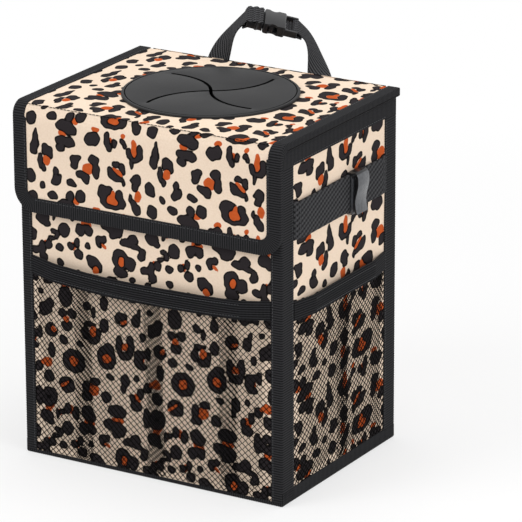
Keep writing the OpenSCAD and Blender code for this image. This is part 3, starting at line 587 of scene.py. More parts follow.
def make_panels():
    panel("front_panel", FRONT, SIDE_X, 0.4, lambda a, z: (1.9 + 1.012 * a, z + 2.3 + 0.017 * a))
    panel("right_panel", RIGHT, FACE_Y, 1.9, lambda a, z: (-111.4 - 0.796 * a, z + 0.25 - 0.05 * a), leopard)
    panel("back_panel", BACK, SIDE_X, 3.1, lambda a, z: (a + 40, z + 60))
    panel("left_panel", LEFT, FACE_Y, 4.4, lambda a, z: (a - 17, z + 9))


def cover_path(v):
    """Place across the lid and flap cover, from the flap's lower edge over the bend to the back edge."""
    turn = np.clip((v - CREASE_Z) / BEND_R, 0, math.pi / 2)
    along = v - CREASE_Z - BEND_R * math.pi / 2
    fold = np.clip(along - LID_RUN, 0, math.pi / 2)
    y = BEND_Y - BEND_R * np.cos(turn) + np.clip(along, 0, LID_RUN) + np.sin(fold)
    z = (np.minimum(v, CREASE_Z) + BEND_R * np.sin(turn) - (1 - np.cos(fold))
         - np.maximum(0, along - LID_RUN - math.pi / 2))
    return y, z, joined(0.0, -np.cos(turn + fold), np.sin(turn + fold))


def flap_half(z):
    """Half the flap's width at a height: it is narrower at its round lower corners."""
    drop = np.clip(FLAP_LOW + FLAP_CORNER_R - z, 0, FLAP_CORNER_R)
    return LID_X - FLAP_CORNER_R + np.sqrt(FLAP_CORNER_R ** 2 - drop ** 2)


def bend_with_flap(made):
    """Bakes a piece's transform into its mesh."""
    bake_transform(made)


def make_cover():
    v_back = CREASE_Z + BEND_R * math.pi / 2 + LID_RUN
    rows = np.concatenate([steps(FLAP_LOW, SEAM_V, COVER_STEP), steps(SEAM_V, v_back - 1, COVER_STEP)[1:],
                           v_back + np.array([0, 0.4, 0.8, 1.2, 1.57, 3.5, 5.4])])
    share, v = np.meshgrid(steps(-1, 1, COVER_STEP / LID_X), rows)
    x = share * flap_half(v)
    y, z, normal = cover_path(v)
    inset = LID_X - np.abs(x)
    flat = ease(np.abs(v - CREASE_Z - 6), 16) * ease(v_back - v, 10)
    lift = ease(np.minimum(inset, v - FLAP_LOW), 16) * flat * 0.35 * wander(x, v, 15, 0.8) + 0.1
    lift -= np.exp(-((v - SEAM_V) / 0.9) ** 2) * 0.45
    # Between the tapes the cloth is folded more sharply than the bend, along its seam
    bend = (CREASE_Z - 4, CREASE_Z + 1, SEAM_V, SEAM_V + 10.5)
    crease_y = np.interp(v, bend, (FLAP_Y, -92.3, -89.2, BEND_Y + 3.8))
    crease_z = np.interp(v, bend, (CREASE_Z - 4, CREASE_Z + 1, 288.7, LID_TOP + 0.1))
    share = ease(inset - 8, 8) * ((v > bend[0]) & (v < bend[-1]))
    y, z = y + (crease_y - y) * share, z + (crease_z - z) * share
    points = joined(x, y, z) + normal * lift[..., None]
    # The print lies a little differently on the flap and on the lid
    on_lid = ease(v - SEAM_V + 3, 6)
    on_flap = 1 - on_lid
    masks = leopard((2.7 + 1.01 * x) * on_flap / PRINT_SCALE + (-2.4 + 0.992 * x - 0.012 * y) * on_lid / PRINT_SCALE,
                    v + (2.4 + 0.014 * x) * on_flap + (4.1 + 0.031 * x - 0.02 * y) * on_lid)
    masks["rust"] = masks["rust"] - 0.2 * ease(v - SEAM_V, 8)
    points, faces, used = cut_round(points, DISC_HOLE_R + 1.2, v > CREASE_Z + 20)
    made = piece("lid_flap_cloth", points, faces, None, "print", "print_cloth", ("lid_cover", "flap_cover"),
                 {key: np.ravel(value)[used] for key, value in masks.items()})
    bend_with_flap(made)


# Bindings

def round_rectangle(half_x, half_y, radius, side_parts):
    """Points and outward directions round a rectangle with round corners.

    side_parts gives the number of parts of a straight side of a given length.
    """
    points, normals = [], []
    for sx, sy, start in ((1, -1, -90), (1, 1, 0), (-1, 1, 90), (-1, -1, 180)):
        centre = np.array([sx * (half_x - radius), sy * (half_y - radius)])
        for angle in np.radians(np.linspace(start, start + 90, CORNER_PARTS + 1)):
            normals.append(np.array([math.cos(angle), math.sin(angle)]))
            points.append(centre + normals[-1] * radius)
        length = 2 * ((half_x - radius) if sx * sy > 0 else (half_y - radius))
        begin, way = points[-1], normals[-1]
        forward = np.array([-way[1], way[0]])
        for along in np.linspace(0, length, side_parts(length) + 1)[1:-1]:
            points.append(begin + forward * along)
            normals.append(way)
    return np.array(points), np.array(normals)


def profile_tube(name, centres, outs, ups, profile, body, wrap_along=False, **rest):
    """A ribbed tape whose section (out, up) follows a row of places."""
    section = np.asarray(profile, float)
    if section.ndim == 2:
        section = np.broadcast_to(section, (len(centres),) + section.shape)
    rings = centres[:, None] + outs[:, None] * section[..., :1] + ups[:, None] * section[..., 1:]
    return tube(name, rings, body, "tape", "binding_tape", wrap_along, RIB, **rest)


def corner_binding(name, sx, sy, low):
    side, front, radius = SIDE_LEG, FRONT_LEG, CORNER_R
    outline = [(0, -side), (0.55, -side), (TAPE_T, -side + 0.5)]
    outline += [(TAPE_T, -side + 3 + i * 2.5) for i in range(5)]
    outline += [(TAPE_T - radius + radius * math.cos(a), TAPE_T - radius + radius * math.sin(a))
                for a in np.radians(np.linspace(0, 90, 6))]
    outline += [(-front + 3.5, TAPE_T), (-front + 0.5, TAPE_T), (-front, 0.55), (-front, 0.0), (-0.6, -0.6)]
    out_x, out_y = np.array(outline).T
    rings = joined(sx * (SIDE_X + out_x), sy * (FACE_Y + out_y), steps(low, RIM_LOW + 0.6, RIB_PITCH)[:, None])
    if sx * sy > 0:
        rings = rings[:, ::-1]
    tube(name + "_tape", rings, "root", "tape", "binding_tape", rib=RIB, replaces=(name,))


def make_bindings():
    for face, sy, low in (("front", -1, 2.6), ("back", 1, 10.5)):
        corner_binding(face + "_left_binding", -1, sy, low)
        corner_binding(face + "_right_binding", 1, sy, low)
    plan, outward = round_rectangle(SIDE_X + TAPE_T, FACE_Y + TAPE_T, CORNER_R,
                                    lambda length: round(length / RIB_PITCH))
    centres, outs = (np.column_stack([pairs, np.zeros(len(plan))]) for pairs in (plan, outward))
    ups = np.tile([0.0, 0.0, 1.0], (len(plan), 1))
    rim = [(-0.7, RIM_LOW), (-0.2, RIM_LOW), (0.12, RIM_LOW + 0.5), (0.15, RIM_LOW + 4), (0.15, RIM_TOP - 4),
           (0.1, RIM_TOP - 1), (-0.4, RIM_TOP), (-3, RIM_TOP), (-5.3, RIM_TOP), (-5.8, RIM_TOP - 0.8),
           (-5.8, RIM_LOW + 6), (-5.7, RIM_LOW + 0.5), (-5.3, RIM_LOW), (-4.9, RIM_LOW + 0.5), (-4.9, RIM_TOP - 1.2),
           (-0.8, RIM_TOP - 1.2)]
    profile_tube("rim_tape", centres, outs, ups, rim[::-1], "root", True, replaces=("rim_binding",))
    # The base tape is lower on the front, below the pocket
    tops = np.where(outward[:, 1] < -0.9, 3.0, 11.0)
    base = np.array([[(-0.75, t), (-0.2, t), (0.05, t - 0.5), (0.1, t / 2), (0.1, 0.9), (-0.5, 0.0), (-4, 0.0),
                      (-9.3, 0.0), (-9.8, 0.3), (-9.8, 0.75), (-1.0, 0.75)] for t in tops])
    profile_tube("base_tape", centres, outs, ups, base[:, ::-1], "root", True, replaces=("base_binding",))


def make_lid_tape():
    """The tape round the lid and the flap, one piece that is shaped round the crease like the cloth."""
    left, front, corner = (-1, 0, 0), (0, -1, 0), FLAP_LOW + FLAP_CORNER_R
    half = [((-LID_X, y, LID_TOP), left, (0, 0, 1)) for y in steps(BEND_Y, LID_BACK_Y, RIB_PITCH)[::-1]]
    for a in np.linspace(0, math.pi / 2, round(BEND_R * math.pi / 2 / RIB_PITCH) + 1)[1:-1]:
        half.append(((-LID_X, BEND_Y - BEND_R * math.sin(a), CREASE_Z + BEND_R * math.cos(a)), left,
                     (0, -math.sin(a), math.cos(a))))
    half += [((-LID_X, FLAP_Y, z), left, front) for z in steps(corner, CREASE_Z, RIB_PITCH)[::-1]]
    for a in np.linspace(math.pi, 1.5 * math.pi, round(FLAP_CORNER_R * math.pi / 2 / RIB_PITCH) + 1)[1:-1]:
        half.append(((-LID_X + FLAP_CORNER_R + FLAP_CORNER_R * math.cos(a), FLAP_Y,
                      corner + FLAP_CORNER_R * math.sin(a)), (math.cos(a), 0, math.sin(a)), front))
    bottom = [((x, FLAP_Y, FLAP_LOW), (0, 0, -1), front)
              for x in steps(-LID_X + FLAP_CORNER_R, LID_X - FLAP_CORNER_R, RIB_PITCH)]
    half, bottom = np.array(half, float), np.array(bottom, float)
    centres, outs, ups = np.concatenate([half, bottom, half[::-1] * (-1.0, 1, 1)]).transpose(1, 0, 2)
    # The section is turned over the edge: front leg, edge and back leg
    on_lid = centres[:, 2] > CREASE_Z - 0.1
    legs = np.where(on_lid, LID_LEG, FLAP_LEG)
    depths = np.where(on_lid, LID_TOP - LID_LOW, FLAP_BACK_Y - FLAP_Y)
    rows = []
    for leg, t in zip(legs, depths):
        under = -t - TAPE_T * 0.9
        rows.append([(-leg, 0.05), (-leg, 0.5), (-leg + 0.5, TAPE_T), (-leg + 4, TAPE_T + 0.06), (-3, TAPE_T + 0.06),
                     (0.2, TAPE_T), (TAPE_T, 0.1), (TAPE_T, -t), (0.2, under), (-leg * 0.5, under), (-leg, under),
                     (-leg, -t - 0.05), (-0.1, -t - 0.05), (-0.1, 0.05)])
    bend_with_flap(profile_tube("lid_flap_tape", centres, outs, ups, rows, None,
                                replaces=("lid_binding_left", "lid_binding_right", "flap_binding")))


def make_lid_gap_shade():
    """The dark cord along each side of the lid's underside, above the rim, is painted shade: it stands for the
    shadowed gap between the lid and the rim.
    """
    along = steps(BEND_Y, LID_BACK_Y - 1, 3)[:, None]
    turn = np.linspace(0, 2 * math.pi, 9)[:-1]
    for word, sx in (("left", -1), ("right", 1)):
        rings = joined(sx * (LID_X + 0.4) + 0.6 * np.cos(sx * turn), along,
                       LID_LOW + 0.4 + 0.55 * np.sin(sx * turn))
        tube(word + "_lid_gap_shade_cord", rings, "lid", "net", "binding_tape")


# Pockets, elastics and side webbing


def sag(x, run):
    """How far the front pocket's top edge lies above its CAD height: it hangs lower in the middle."""
    return 5.2 * (2 * x / run) ** 2 - 1.0 if run == FRONT_RUN else 0.0 * x


def pocket_out(x, z, run, depth, low):
    """How far a net stands off its panel, given its depth where it stands free."""
    side, foot = (t * (2 - t) * 0.35 + t * 0.65
                  for t in (ease(run / 2 - np.abs(x), POCKET_RAMP), ease(z - low, POCKET_FOOT)))
    return depth * np.minimum(side, foot)


def net(word, side, run, depth, low, pleats):
    """Diamond net: zigzag strands that touch their neighbours, doubled where it is pleated."""
    top = POCKET_TOP - ELASTIC_H
    columns = round((run + 1.4) / NET_PITCH_X)
    x_step = (run + 1.4) / columns
    rows = round((top + 2 - low) / NET_PITCH_Z) * 4
    z = np.linspace(low + 0.4, top + 1.5, rows + 1)
    zigzag = np.array([-1.0, -0.12, 1.0, 0.12])[np.arange(rows + 1) % 4]
    starts = [(-run / 2 - 0.7 + c * x_step, 0.0, 0.0) for c in range(columns)]
    starts += [(at - 6 + c * x_step, 1.9, -1.1) for at in pleats for c in range(3)]
    all_points, all_faces = [], []
    for start, shift, deeper in starts:
        for lean in (-1, 1):
            x = start + x_step / 2 + lean * 0.25 * x_step + zigzag * lean * 0.25 * x_step * 0.94 + shift
            gather = 1.3 * np.sin(z / 23.0 + x[0] * 0.13) * ease(run / 2 - np.abs(x), 20)
            x = x + gather * ease(POCKET_TOP - z, 40) * 0.5
            # Lower down, where nothing holds the net away, it lies closer to the cloth
            hang = ease(z - 85, top - 85) ** 2
            out = pocket_out(x, z, run, depth, low) * (0.38 + 0.62 * hang) - 0.35 + deeper
            for at in pleats:
                out += 0.9 * np.exp(-((x - at) / 3.5) ** 2) * (deeper == 0)
            ripple = 0.35 * np.sin(x / 6.1 + 0.8 * np.sin(z / 17)) * ease(run / 2 - np.abs(x), 30)
            out = np.maximum(out + np.minimum(ripple, 0.0), 0.3)
            height = z + sag(x, run) * (z - low) / (top - low)
            first = len(all_points) * len(z) * 3
            all_points.append(np.stack([on_side(side, x + YARN_R * math.cos(a), height, out + YARN_R * math.sin(a))
                                        for a in np.radians([90, 210, 330])], 1))
            all_faces += (np.array(grid_faces(len(z), 3, False, True)) + first).tolist()
            last = first + (len(z) - 1) * 3
            all_faces += [[first, first + 1, first + 2], [last + 2, last + 1, last]]
    made = piece(word + "_net", np.vstack(all_points), all_faces, "root", "net", "net", (word + "_pocket_net",),
                 sharp=80)


def band(name, side, run, low, high, ramp, inner, thickness, node, looks, rib_pitch, seed, twill=False):
    """A flat band that stands off its panel between sewn-down ends."""
    grid_x = steps(-run / 2, run / 2, WEB_STEP if twill else 1.4)
    grid_z = steps(low, high, WEB_STEP if twill else rib_pitch / 4)
    x, z = np.meshgrid(grid_x, grid_z)
    lift = inner * ease(run / 2 - np.abs(x), ramp) + thickness
    edge = ease(np.minimum(z - low, high - z), 0.8)
    if twill:
        relief = 0.2 * np.sin((x + z) * 2 * math.pi / 4.2) * np.where(np.arange(len(grid_x)) % 4 < 2, 1, -0.4)
    else:
        relief = 0.22 * np.cos((z - low) * 2 * math.pi / rib_pitch) + 0.08 * np.sin(x * 2 * math.pi / 2.8)
    out = lift - 0.35 + relief - 0.5 * (1 - edge) ** 2 + 0.12 * wander(x, z * 3, 9, seed)
    front = on_side(side, x, z + 0.25 * np.sin(x / 19 + seed) + sag(x, run), out)
    # The rib tone follows the relief, so raised ribs are painted lighter and hollows darker: painted highlight and
    # painted shade
    points, faces, values = closed_sheet(front, side[1], thickness - 0.3, {"rib": 0.5 + relief / 0.4}, ngon=False)
    # The back is a row of strips between the lower and upper edges
    first, count_x, count_z = x.size, len(grid_x), len(grid_z)
    lower = [first + i for i in range(count_x)]
    upper = [first + (count_x - 1) + (count_z - 1) + i for i in range(count_x)][::-1]
    left = [len(points) - 1 - k for k in range(count_z - 2)]
    right = [first + count_x - 1 + k for k in range(count_z)]
    faces.append([lower[1], lower[0]] + left + [upper[0], upper[1]])
    faces += [[lower[i + 1], lower[i], upper[i], upper[i + 1]] for i in range(1, count_x - 2)]
    faces.append([lower[-2], upper[-2]] + right[::-1])
    piece(name, points, faces, "root", *looks, (node,), values)


def make_pockets():
    net("front", FRONT, FRONT_RUN, 6.5, 3.0, (-66.0, 0.0, 66.0))
    net("right", RIGHT, SIDE_RUN, 6.0, 11.0, (0.0,))
    net("left", LEFT, SIDE_RUN, 6.0, 11.0, (0.0,))
    for word, side, run, inner, seed in (("front", FRONT, FRONT_RUN, FRONT_STAND, 0.3),
                                         ("right", RIGHT, SIDE_RUN, SIDE_STAND, 1.1),
                                         ("left", LEFT, SIDE_RUN, SIDE_STAND, 2.2)):
        band(word + "_elastic_band", side, run, POCKET_TOP - ELASTIC_H, POCKET_TOP, POCKET_RAMP, inner, ELASTIC_T,
             word + "_elastic", ("elastic", "elastic"), 1.9, seed)
        if side is not FRONT:
            band(word + "_web", side, run, WEB_LOW, WEB_TOP, WEB_RAMP, WEB_OUT, WEB_T, word + "_webbing",
                 ("webbing", "webbing"), 1.0, seed, twill=True)


# Stitches

def stitch_rows(name, rows, body, length=2.1, radius=0.22, material="thread", slot="binding_tape"):
    """Short raised threads; each row has places, directions along it and directions out of the cloth."""
    places, ways, outs = (np.vstack([np.asarray(row[i], float) for row in rows]) for i in range(3))
    sideways = np.cross(ways, outs)
    sides = 5
    rings = []
    for along, size in ((-0.5, 0.25), (-0.3, 1.0), (0.3, 1.0), (0.5, 0.25)):
        for k in range(sides):
            angle = 2 * math.pi * k / sides
            rings.append(places + ways * along * length + (sideways * math.cos(angle) + outs * math.sin(angle))
                         * radius * size)
    starts = np.arange(len(places)) * 4 * sides
    faces = (np.array(grid_faces(4, sides, False, True)) + starts[:, None, None]).reshape(-1, 4).tolist()
    for first in starts.tolist():
        faces += [[first + k for k in range(sides)], [first + 3 * sides + k for k in range(sides)][::-1]]
    return piece(name, np.stack(rings, 1), faces, body, material, slot, sharp=180)


def row_between(start, end, out, pitch=STITCH_PITCH, slant=0.0):
    """Places, directions and outward directions of a straight row of stitches."""
    start, end, out = (np.array(v, float) for v in (start, end, out))
    way = (end - start) / np.linalg.norm(end - start)
    count = max(2, round(np.linalg.norm(end - start) / pitch))
    places = start + (end - start) * ((np.arange(count) + 0.5) / count)[:, None]
    across = np.cross(out, way)
    turned = way + across * slant * np.where(np.arange(count) % 2, 1, -1)[:, None]
    turned /= np.linalg.norm(turned, axis=1, keepdims=True)
    return places, turned, np.broadcast_to(out, places.shape)


def side_row(side, start, end, out, **rest):
    """A row on one side's face, given by places across and up."""
    return row_between(on_side(side, *start, out), on_side(side, *end, out), side[1], **rest)


def make_stitches():
    rows = []
    for side, half, leg, low, slant in ((FRONT, SIDE_X, FRONT_LEG, 4, 0.0), (BACK, SIDE_X, FRONT_LEG, 12, 0.0),
                                        (RIGHT, FACE_Y, SIDE_LEG, 12, 0.5), (LEFT, FACE_Y, SIDE_LEG, 12, 0.5)):
        for sign in (-1, 1):
            across = sign * (half - leg + STITCH_IN)
            rows.append(side_row(side, (across, low), (across, RIM_LOW - 2), TAPE_T + 0.05, slant=slant, pitch=2.8))
        edge = half - leg
        rows.append(side_row(side, (-edge, RIM_LOW + 1.8), (edge, RIM_LOW + 1.8), TAPE_T + 0.18))
    for side, run, stand in ((FRONT, FRONT_RUN, FRONT_STAND), (RIGHT, SIDE_RUN, SIDE_STAND),
                             (LEFT, SIDE_RUN, SIDE_STAND)):
        for z in (POCKET_TOP - 3.2, POCKET_TOP - ELASTIC_H + 2.6):
            half = run / 2 - POCKET_RAMP
            row = side_row(side, (-half, z), (half, z), stand + ELASTIC_T + 0.1, pitch=TIGHT_PITCH)
            row[0][:, 2] += sag(row[0][:, 0], run)
            rows.append(row)
    for side in (RIGHT, LEFT):
        for sign in (-1, 1):
            for inset in (1.5, 6.0):
                across = sign * (SIDE_RUN / 2 - inset)
                out = WEB_OUT * min(1.0, inset / WEB_RAMP) + WEB_T
                rows.append(side_row(side, (across, WEB_LOW + 2), (across, WEB_TOP - 2), out, pitch=TIGHT_PITCH))
    sewn = ((-8, -28), (8, -28), (8, -4), (-8, -4))
    for x in (-STRAP_X, STRAP_X):
        for a, b in ((0, 1), (1, 2), (2, 3), (3, 0), (0, 2), (1, 3)):
            start, end = ((x + sewn[i][0], FACE_Y + 1.35, STRAP_LEAVES_Z + sewn[i][1]) for i in (a, b))
            rows.append(row_between(start, end, (0, 1, 0), pitch=TIGHT_PITCH))
    rows.append(row_between((-105, 88.95, 268.5), (105, 88.95, 268.5), (0, 1, 0)))
    stitch_rows("bin_stitches", rows, "root")
    rows = []
    top, front, up, forward = LID_TOP + TAPE_T, FLAP_Y - TAPE_T, (0, 0, 1), (0, -1, 0)
    for sign in (-1, 1):
        across = sign * (LID_X - (LID_LEG - STITCH_IN))
        rows.append(row_between((across, BEND_Y + 2, top), (across, LID_BACK_Y - 2, top), up))
        across = sign * (LID_X - (FLAP_LEG - STITCH_IN))
        rows.append(row_between((across, front, FLAP_LOW + FLAP_CORNER_R), (across, front, CREASE_Z - 5), forward))
    across, z = LID_X - FLAP_CORNER_R, FLAP_LOW + FLAP_LEG - STITCH_IN
    rows.append(row_between((-across, front, z), (across, front, z), forward))
    bend_with_flap(stitch_rows("lid_stitches", rows, None))
    across = LID_X - 11.0
    seam = row_between((-across, SEAM_Y, SEAM_Z), (across, SEAM_Y, SEAM_Z), (0, -0.7, 0.7), pitch=3.3)
    stitch_rows("crease_seam", [seam], "lid", length=3.0, radius=0.3, material="net", slot="print_cloth")


# Hanging strap and buckle

BUCKLE_AT = np.array([-12.5, 116.0, 317.5])
BUCKLE_YAW, BUCKLE_PITCH, BUCKLE_ROLL = np.radians([31.0, 14.0, 13.0])
BUCKLE_U = np.array([math.cos(BUCKLE_PITCH) * math.cos(BUCKLE_YAW), math.cos(BUCKLE_PITCH) * math.sin(BUCKLE_YAW),
                     -math.sin(BUCKLE_PITCH)])
LEVEL_V = np.array([-math.sin(BUCKLE_YAW), math.cos(BUCKLE_YAW), 0])
BUCKLE_V = LEVEL_V * math.cos(BUCKLE_ROLL) + np.cross(BUCKLE_U, LEVEL_V) * math.sin(BUCKLE_ROLL)
BUCKLE_N = np.cross(BUCKLE_U, BUCKLE_V)
STRAP_W, STRAP_T = 20.0, 1.3
STRAP_X, STRAP_LEAVES_Z = 47.0, 247.0
BAR_U = (-18.2, 19.9)
WRAP_R = 2.3


def strap_route(half):
    """Middle line and width directions of one strap half, left (0) or right (1), as in the CAD model."""
    sign = (-1, 1)[half]
    bar = BUCKLE_AT + BUCKLE_U * BAR_U[half]
    dip = math.radians((61.8, 33.8)[half])
    pull = BUCKLE_U * sign * math.cos(dip) - BUCKLE_N * math.sin(dip)
    lift = BUCKLE_U * sign * math.sin(dip) + BUCKLE_N * math.cos(dip)
    leaves = np.array([sign * STRAP_X, FACE_Y + STRAP_T / 2, STRAP_LEAVES_Z])
    lean = np.array(((-8, 0, 28.5), (0, 9.6, 10))[half])
    arrives = bar + pull * 8 + lift * WRAP_R
    knots = [leaves, leaves + lean, arrives + pull * (19.9, 20.5)[half], arrives]
    t = np.linspace(0, 1, 90)[:, None]
    curve = (knots[0] * (1 - t) ** 3 + knots[1] * 3 * t * (1 - t) ** 2 + knots[2] * 3 * t ** 2 * (1 - t)
             + knots[3] * t ** 3)
    angle = np.linspace(math.pi / 2, math.pi * 1.5, 14)[:, None]
    wrap = bar + (pull * np.cos(angle) + lift * np.sin(angle)) * WRAP_R
    end = [bar + pull * WRAP_R + lift * (0.2 - WRAP_R), bar + pull * 7 + lift * (WRAP_R - STRAP_T - 0.6)]
    path = np.vstack([[leaves - np.array([0, 0, 32])], curve, wrap, end])
    begin = (0.4, 0.0)[half]
    turn = ease(t - begin, 1 - begin)
    turn = turn * turn * (3 - 2 * turn)
    widths = np.array([1.0, 0, 0]) * (1 - turn) + sign * BUCKLE_V * turn
    last = np.broadcast_to(sign * BUCKLE_V, (16, 3))
    return path, np.vstack([[[1.0, 0, 0]], widths, last])


def ribbon(name, path, widths, half_w, half_t, body, nodes=(), flare=lambda at: 0.0 * at):
    """Webbing along a path, with cross ribs and slightly rounded edges; flare(at) widens it."""
    reach = np.concatenate([[0], np.cumsum(np.linalg.norm(np.diff(path, axis=0), axis=1))])
    at = steps(0, reach[-1], WEB_STEP)
    path, widths = (np.column_stack([np.interp(at, reach, column) for column in rows.T]) for rows in (path, widths))
    along = np.gradient(path, axis=0)
    along /= np.linalg.norm(along, axis=1, keepdims=True)
    widths = widths - along * (widths * along).sum(1, keepdims=True)
    widths /= np.linalg.norm(widths, axis=1, keepdims=True)
    normal = np.cross(along, widths)
    across = np.linspace(-0.97, 0.97, 21)
    section = np.array([(w, 1.0) for w in across] + [(1.0, 0.35), (1.0, -0.35)]
                       + [(-w, -1.0) for w in across] + [(-1.0, -0.35), (-1.0, 0.35)])
    order = np.concatenate([np.arange(23), np.arange(23)[::-1]])
    # Twill tones in light and dark diagonals: painted highlight and painted shade of the weave
    twill = ((np.arange(len(at))[:, None] + order * 2) % 6 < 3) * 1.0
    size = (half_w + flare(at))[:, None, None]
    fine = 1 + 0.1 * np.cos(section[:, :1] * half_w * 2 * math.pi / 3.4)
    rings = (path[:, None] + widths[:, None] * section[:, :1] * size + normal[:, None] * section[:, 1:] * half_t
             * 0.86 * fine)
    return tube(name, rings, body, "webbing", "webbing", rib=0.07, tones=twill, replaces=nodes)


def make_strap():
    half_w, half_t = STRAP_W / 2, STRAP_T / 2
    ribbon("strap_left_webbing", *strap_route(0), half_w, half_t, "root", ("strap_left",))
    path, widths = strap_route(1)
    right = ribbon("strap_right_webbing", path, widths, half_w, half_t, None, ("strap_right",))
    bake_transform(right)
    # The gathered webbing over the plug half, from knots given along the buckle and out of it
    smooth = through([(-21.6, -1.8), (-21.4, 1.2), (-20.2, 3.6), (-18.2, 4.3), (-16.3, 3.5), (-14.6, 4.9),
                      (-12.7, 5.3), (-11.3, 4.2), (-9.9, 5.0), (-8.4, 5.4), (-7.4, 4.3)], 60)
    for _ in range(3):
        smooth[1:-1] = (smooth[:-2] + smooth[1:-1] * 2 + smooth[2:]) / 4
    path = BUCKLE_AT + BUCKLE_U * smooth[:, :1] + BUCKLE_N * smooth[:, 1:]
    widths = np.broadcast_to(-BUCKLE_V, path.shape)
    ribbon("strap_gather", path - BUCKLE_V * 1.7, widths, half_w + 2.1, 0.6, "root",
           flare=lambda at: 0.9 * np.abs(np.sin(at * 1.83)) - 2.6 * np.clip(1 - at / 7, 0, 1))
    # The turned end that fills the socket half's slot
    u = np.linspace(12.2, 18.6, 24)[:, None]
    path = BUCKLE_AT + BUCKLE_U * u + BUCKLE_N * (-0.6 + 0.5 * np.sin((u - 12) * 2.2))
    widths = np.broadcast_to(-BUCKLE_V, path.shape)
    ribbon("strap_tuck", path, widths, half_w - 1.4, 0.7, "buckle_socket_body",
           flare=lambda at: 0.5 * np.sin(at * 1.9))


# Moulded pieces: the CAD shapes with their edges rounded

def rounded_copy(node, name, body, material, width, tint=None):
    """A moulding with rounded edges; tint names a second material and says which faces have it."""
    mesh = bpy.data.objects[node].data.copy()
    work = bmesh.new()
    work.from_mesh(mesh)
    bmesh.ops.remove_doubles(work, verts=work.verts, dist=2e-6)
    bmesh.ops.dissolve_limit(work, angle_limit=math.radians(1.5), verts=work.verts, edges=work.edges)
    sharp = [e for e in work.edges if len(e.link_faces) == 2 and e.calc_face_angle(0) > math.radians(28)]
    bmesh.ops.bevel(work, geom=sharp, offset=width * MM, segments=2, profile=0.6, affect="EDGES",
                    clamp_overlap=True)
    bmesh.ops.triangulate(work, faces=[f for f in work.faces if len(f.verts) > 4])
    bmesh.ops.recalc_face_normals(work, faces=work.faces)
    work.verts.index_update()
    count = len(work.verts)

    def order(face):
        """Puts the faces in the order of their vertices, so that it is the same each time."""
        first, second, third = sorted(v.index for v in face.verts)[:3]
        return (first * count + second) * count + third

    work.faces.sort(key=order)
    work.to_mesh(mesh)
    work.free()
    mesh.materials.clear()
    mesh.materials.append(materials[material])
    if tint:
        mesh.materials.append(materials[tint[0]])
        for face in mesh.polygons:
            face.material_index = int(tint[1](face.center / MM, face.normal))
    mesh.polygons.foreach_set("use_smooth", [True] * len(mesh.polygons))
    mesh.set_sharp_from_angle(angle=math.radians(32))
    declare(name, mesh, body, (node,))


def make_mouldings():
    def painted_highlight_faces(at, normal):
        """The sprung tongue's faces and the plate's edge, which get a lighter, glossier plastic: the lighter colour
        is a painted highlight.
        """
        if abs(at.x) > TONGUE_X:
            return abs(normal.y) < 0.6 and normal.z < 0.5
        return (normal.y < -0.7 or normal.x * at.x > 0) and at.z < WEB_TOP - 3

    def painted_shade_faces(at, normal):
        """The walls of the slits and the groove round them, painted near black as shade in these recesses."""
        away = math.hypot(at.x, at.y - DISC_Y)
        if away < DISC_HOLE_R - 2:
            return abs(normal.z) < 0.9
        return GROOVE_R - 0.8 < away < GROOVE_R + 0.8 and at.z < DISC_TOP - 0.1

    # The clips' tongue and plate edge get the lighter plastic as a painted highlight
    for word in ("left", "right"):
        rounded_copy(word + "_clip", word + "_clip_moulding", word + "_clip_body", "plastic", 0.35,
                     ("highlight_plastic", painted_highlight_faces))
    rounded_copy("buckle_plug", "plug_moulding", "root", "plastic", 0.3)
    rounded_copy("buckle_socket", "socket_moulding", "buckle_socket_body", "plastic", 0.4)
    # The disc's slit walls and groove get the near-black rubber as painted shade
    rounded_copy("slit_disc", "disc_moulding", "lid", "rubber", 0.3, ("shade_rubber", painted_shade_faces))


# Inside: liner, linings, touch fastener, bottom cloth and the hinge strip at the back

def make_liner():
    """The waterproof lining, from rings of half width, half depth, corner radius, height and looseness."""
    half_x, half_y, floor = 112.7, 82.7, 5.1
    rings = [(half_x, half_y, 3.0, z, 1.0) for z in steps(floor + 4, WALL_TOP - 1, 5.5)[::-1]]
    rings += [(half_x - inset, half_y - inset, 4.0, floor + z, 0.3)
              for inset, z in ((0.6, 2.0), (2.0, 0.8), (4.0, 0.2))]
    rings += [(half_x * share, half_y * share, 4.0 * share, floor, 0.25) for share in np.linspace(0.94, 0.02, 16)]
    points = []
    for hx, hy, radius, z, loose in rings:
        plan = round_rectangle(hx, hy, radius, lambda length: 26)[0]
        run = np.arange(len(plan)) * 6.0
        wave = 0.5 + 0.5 * wander(run, np.full(len(plan), z * 1.3), 21, 0.6)
        top = min(1.0, max(0.0, (RIM_LOW - z) / 30))
        inward = 1 - loose * top * wave[:, None] * np.array([1.4 / half_x, 1.4 / half_y])
        rise = 0.35 * (0.5 + 0.5 * wander(plan[:, 0], plan[:, 1], 17, 2.0)) if z <= floor else 0.0
        points.append(np.column_stack([plan * inward, np.broadcast_to(z + rise, len(plan))]))
    count, around = len(points), len(points[0])
    faces = grid_faces(count, around, False, True)
    faces.append([(count - 1) * around + i for i in range(around)])
    made = piece("bin_liner", points, faces, "root", "liner", "lining", ("liner",), sharp=60)


def cut_round(points, radius, allowed):
    """Cuts the disc's round opening in a grid of points, its nearest points moved onto the rim.

    It gives the points and faces that are left and the indices of those points.
    """
    centre = np.array([0, DISC_Y])
    away = points[..., :2] - centre
    distance = np.linalg.norm(away, axis=-1)
    near = allowed & (np.abs(distance - radius) < 0.7)
    points[near, :2] = (centre + away * (radius / distance)[..., None])[near]
    gone = set(np.flatnonzero((allowed & (distance < radius - 0.69)).ravel()).tolist())
    faces = [f for f in grid_faces(*points.shape[:2]) if not gone.intersection(f)]
    used = np.unique(np.ravel(faces))
    renumber = np.full(distance.size, -1)
    renumber[used] = np.arange(len(used))
    return points.reshape(-1, 3)[used], renumber[np.array(faces)].tolist(), used


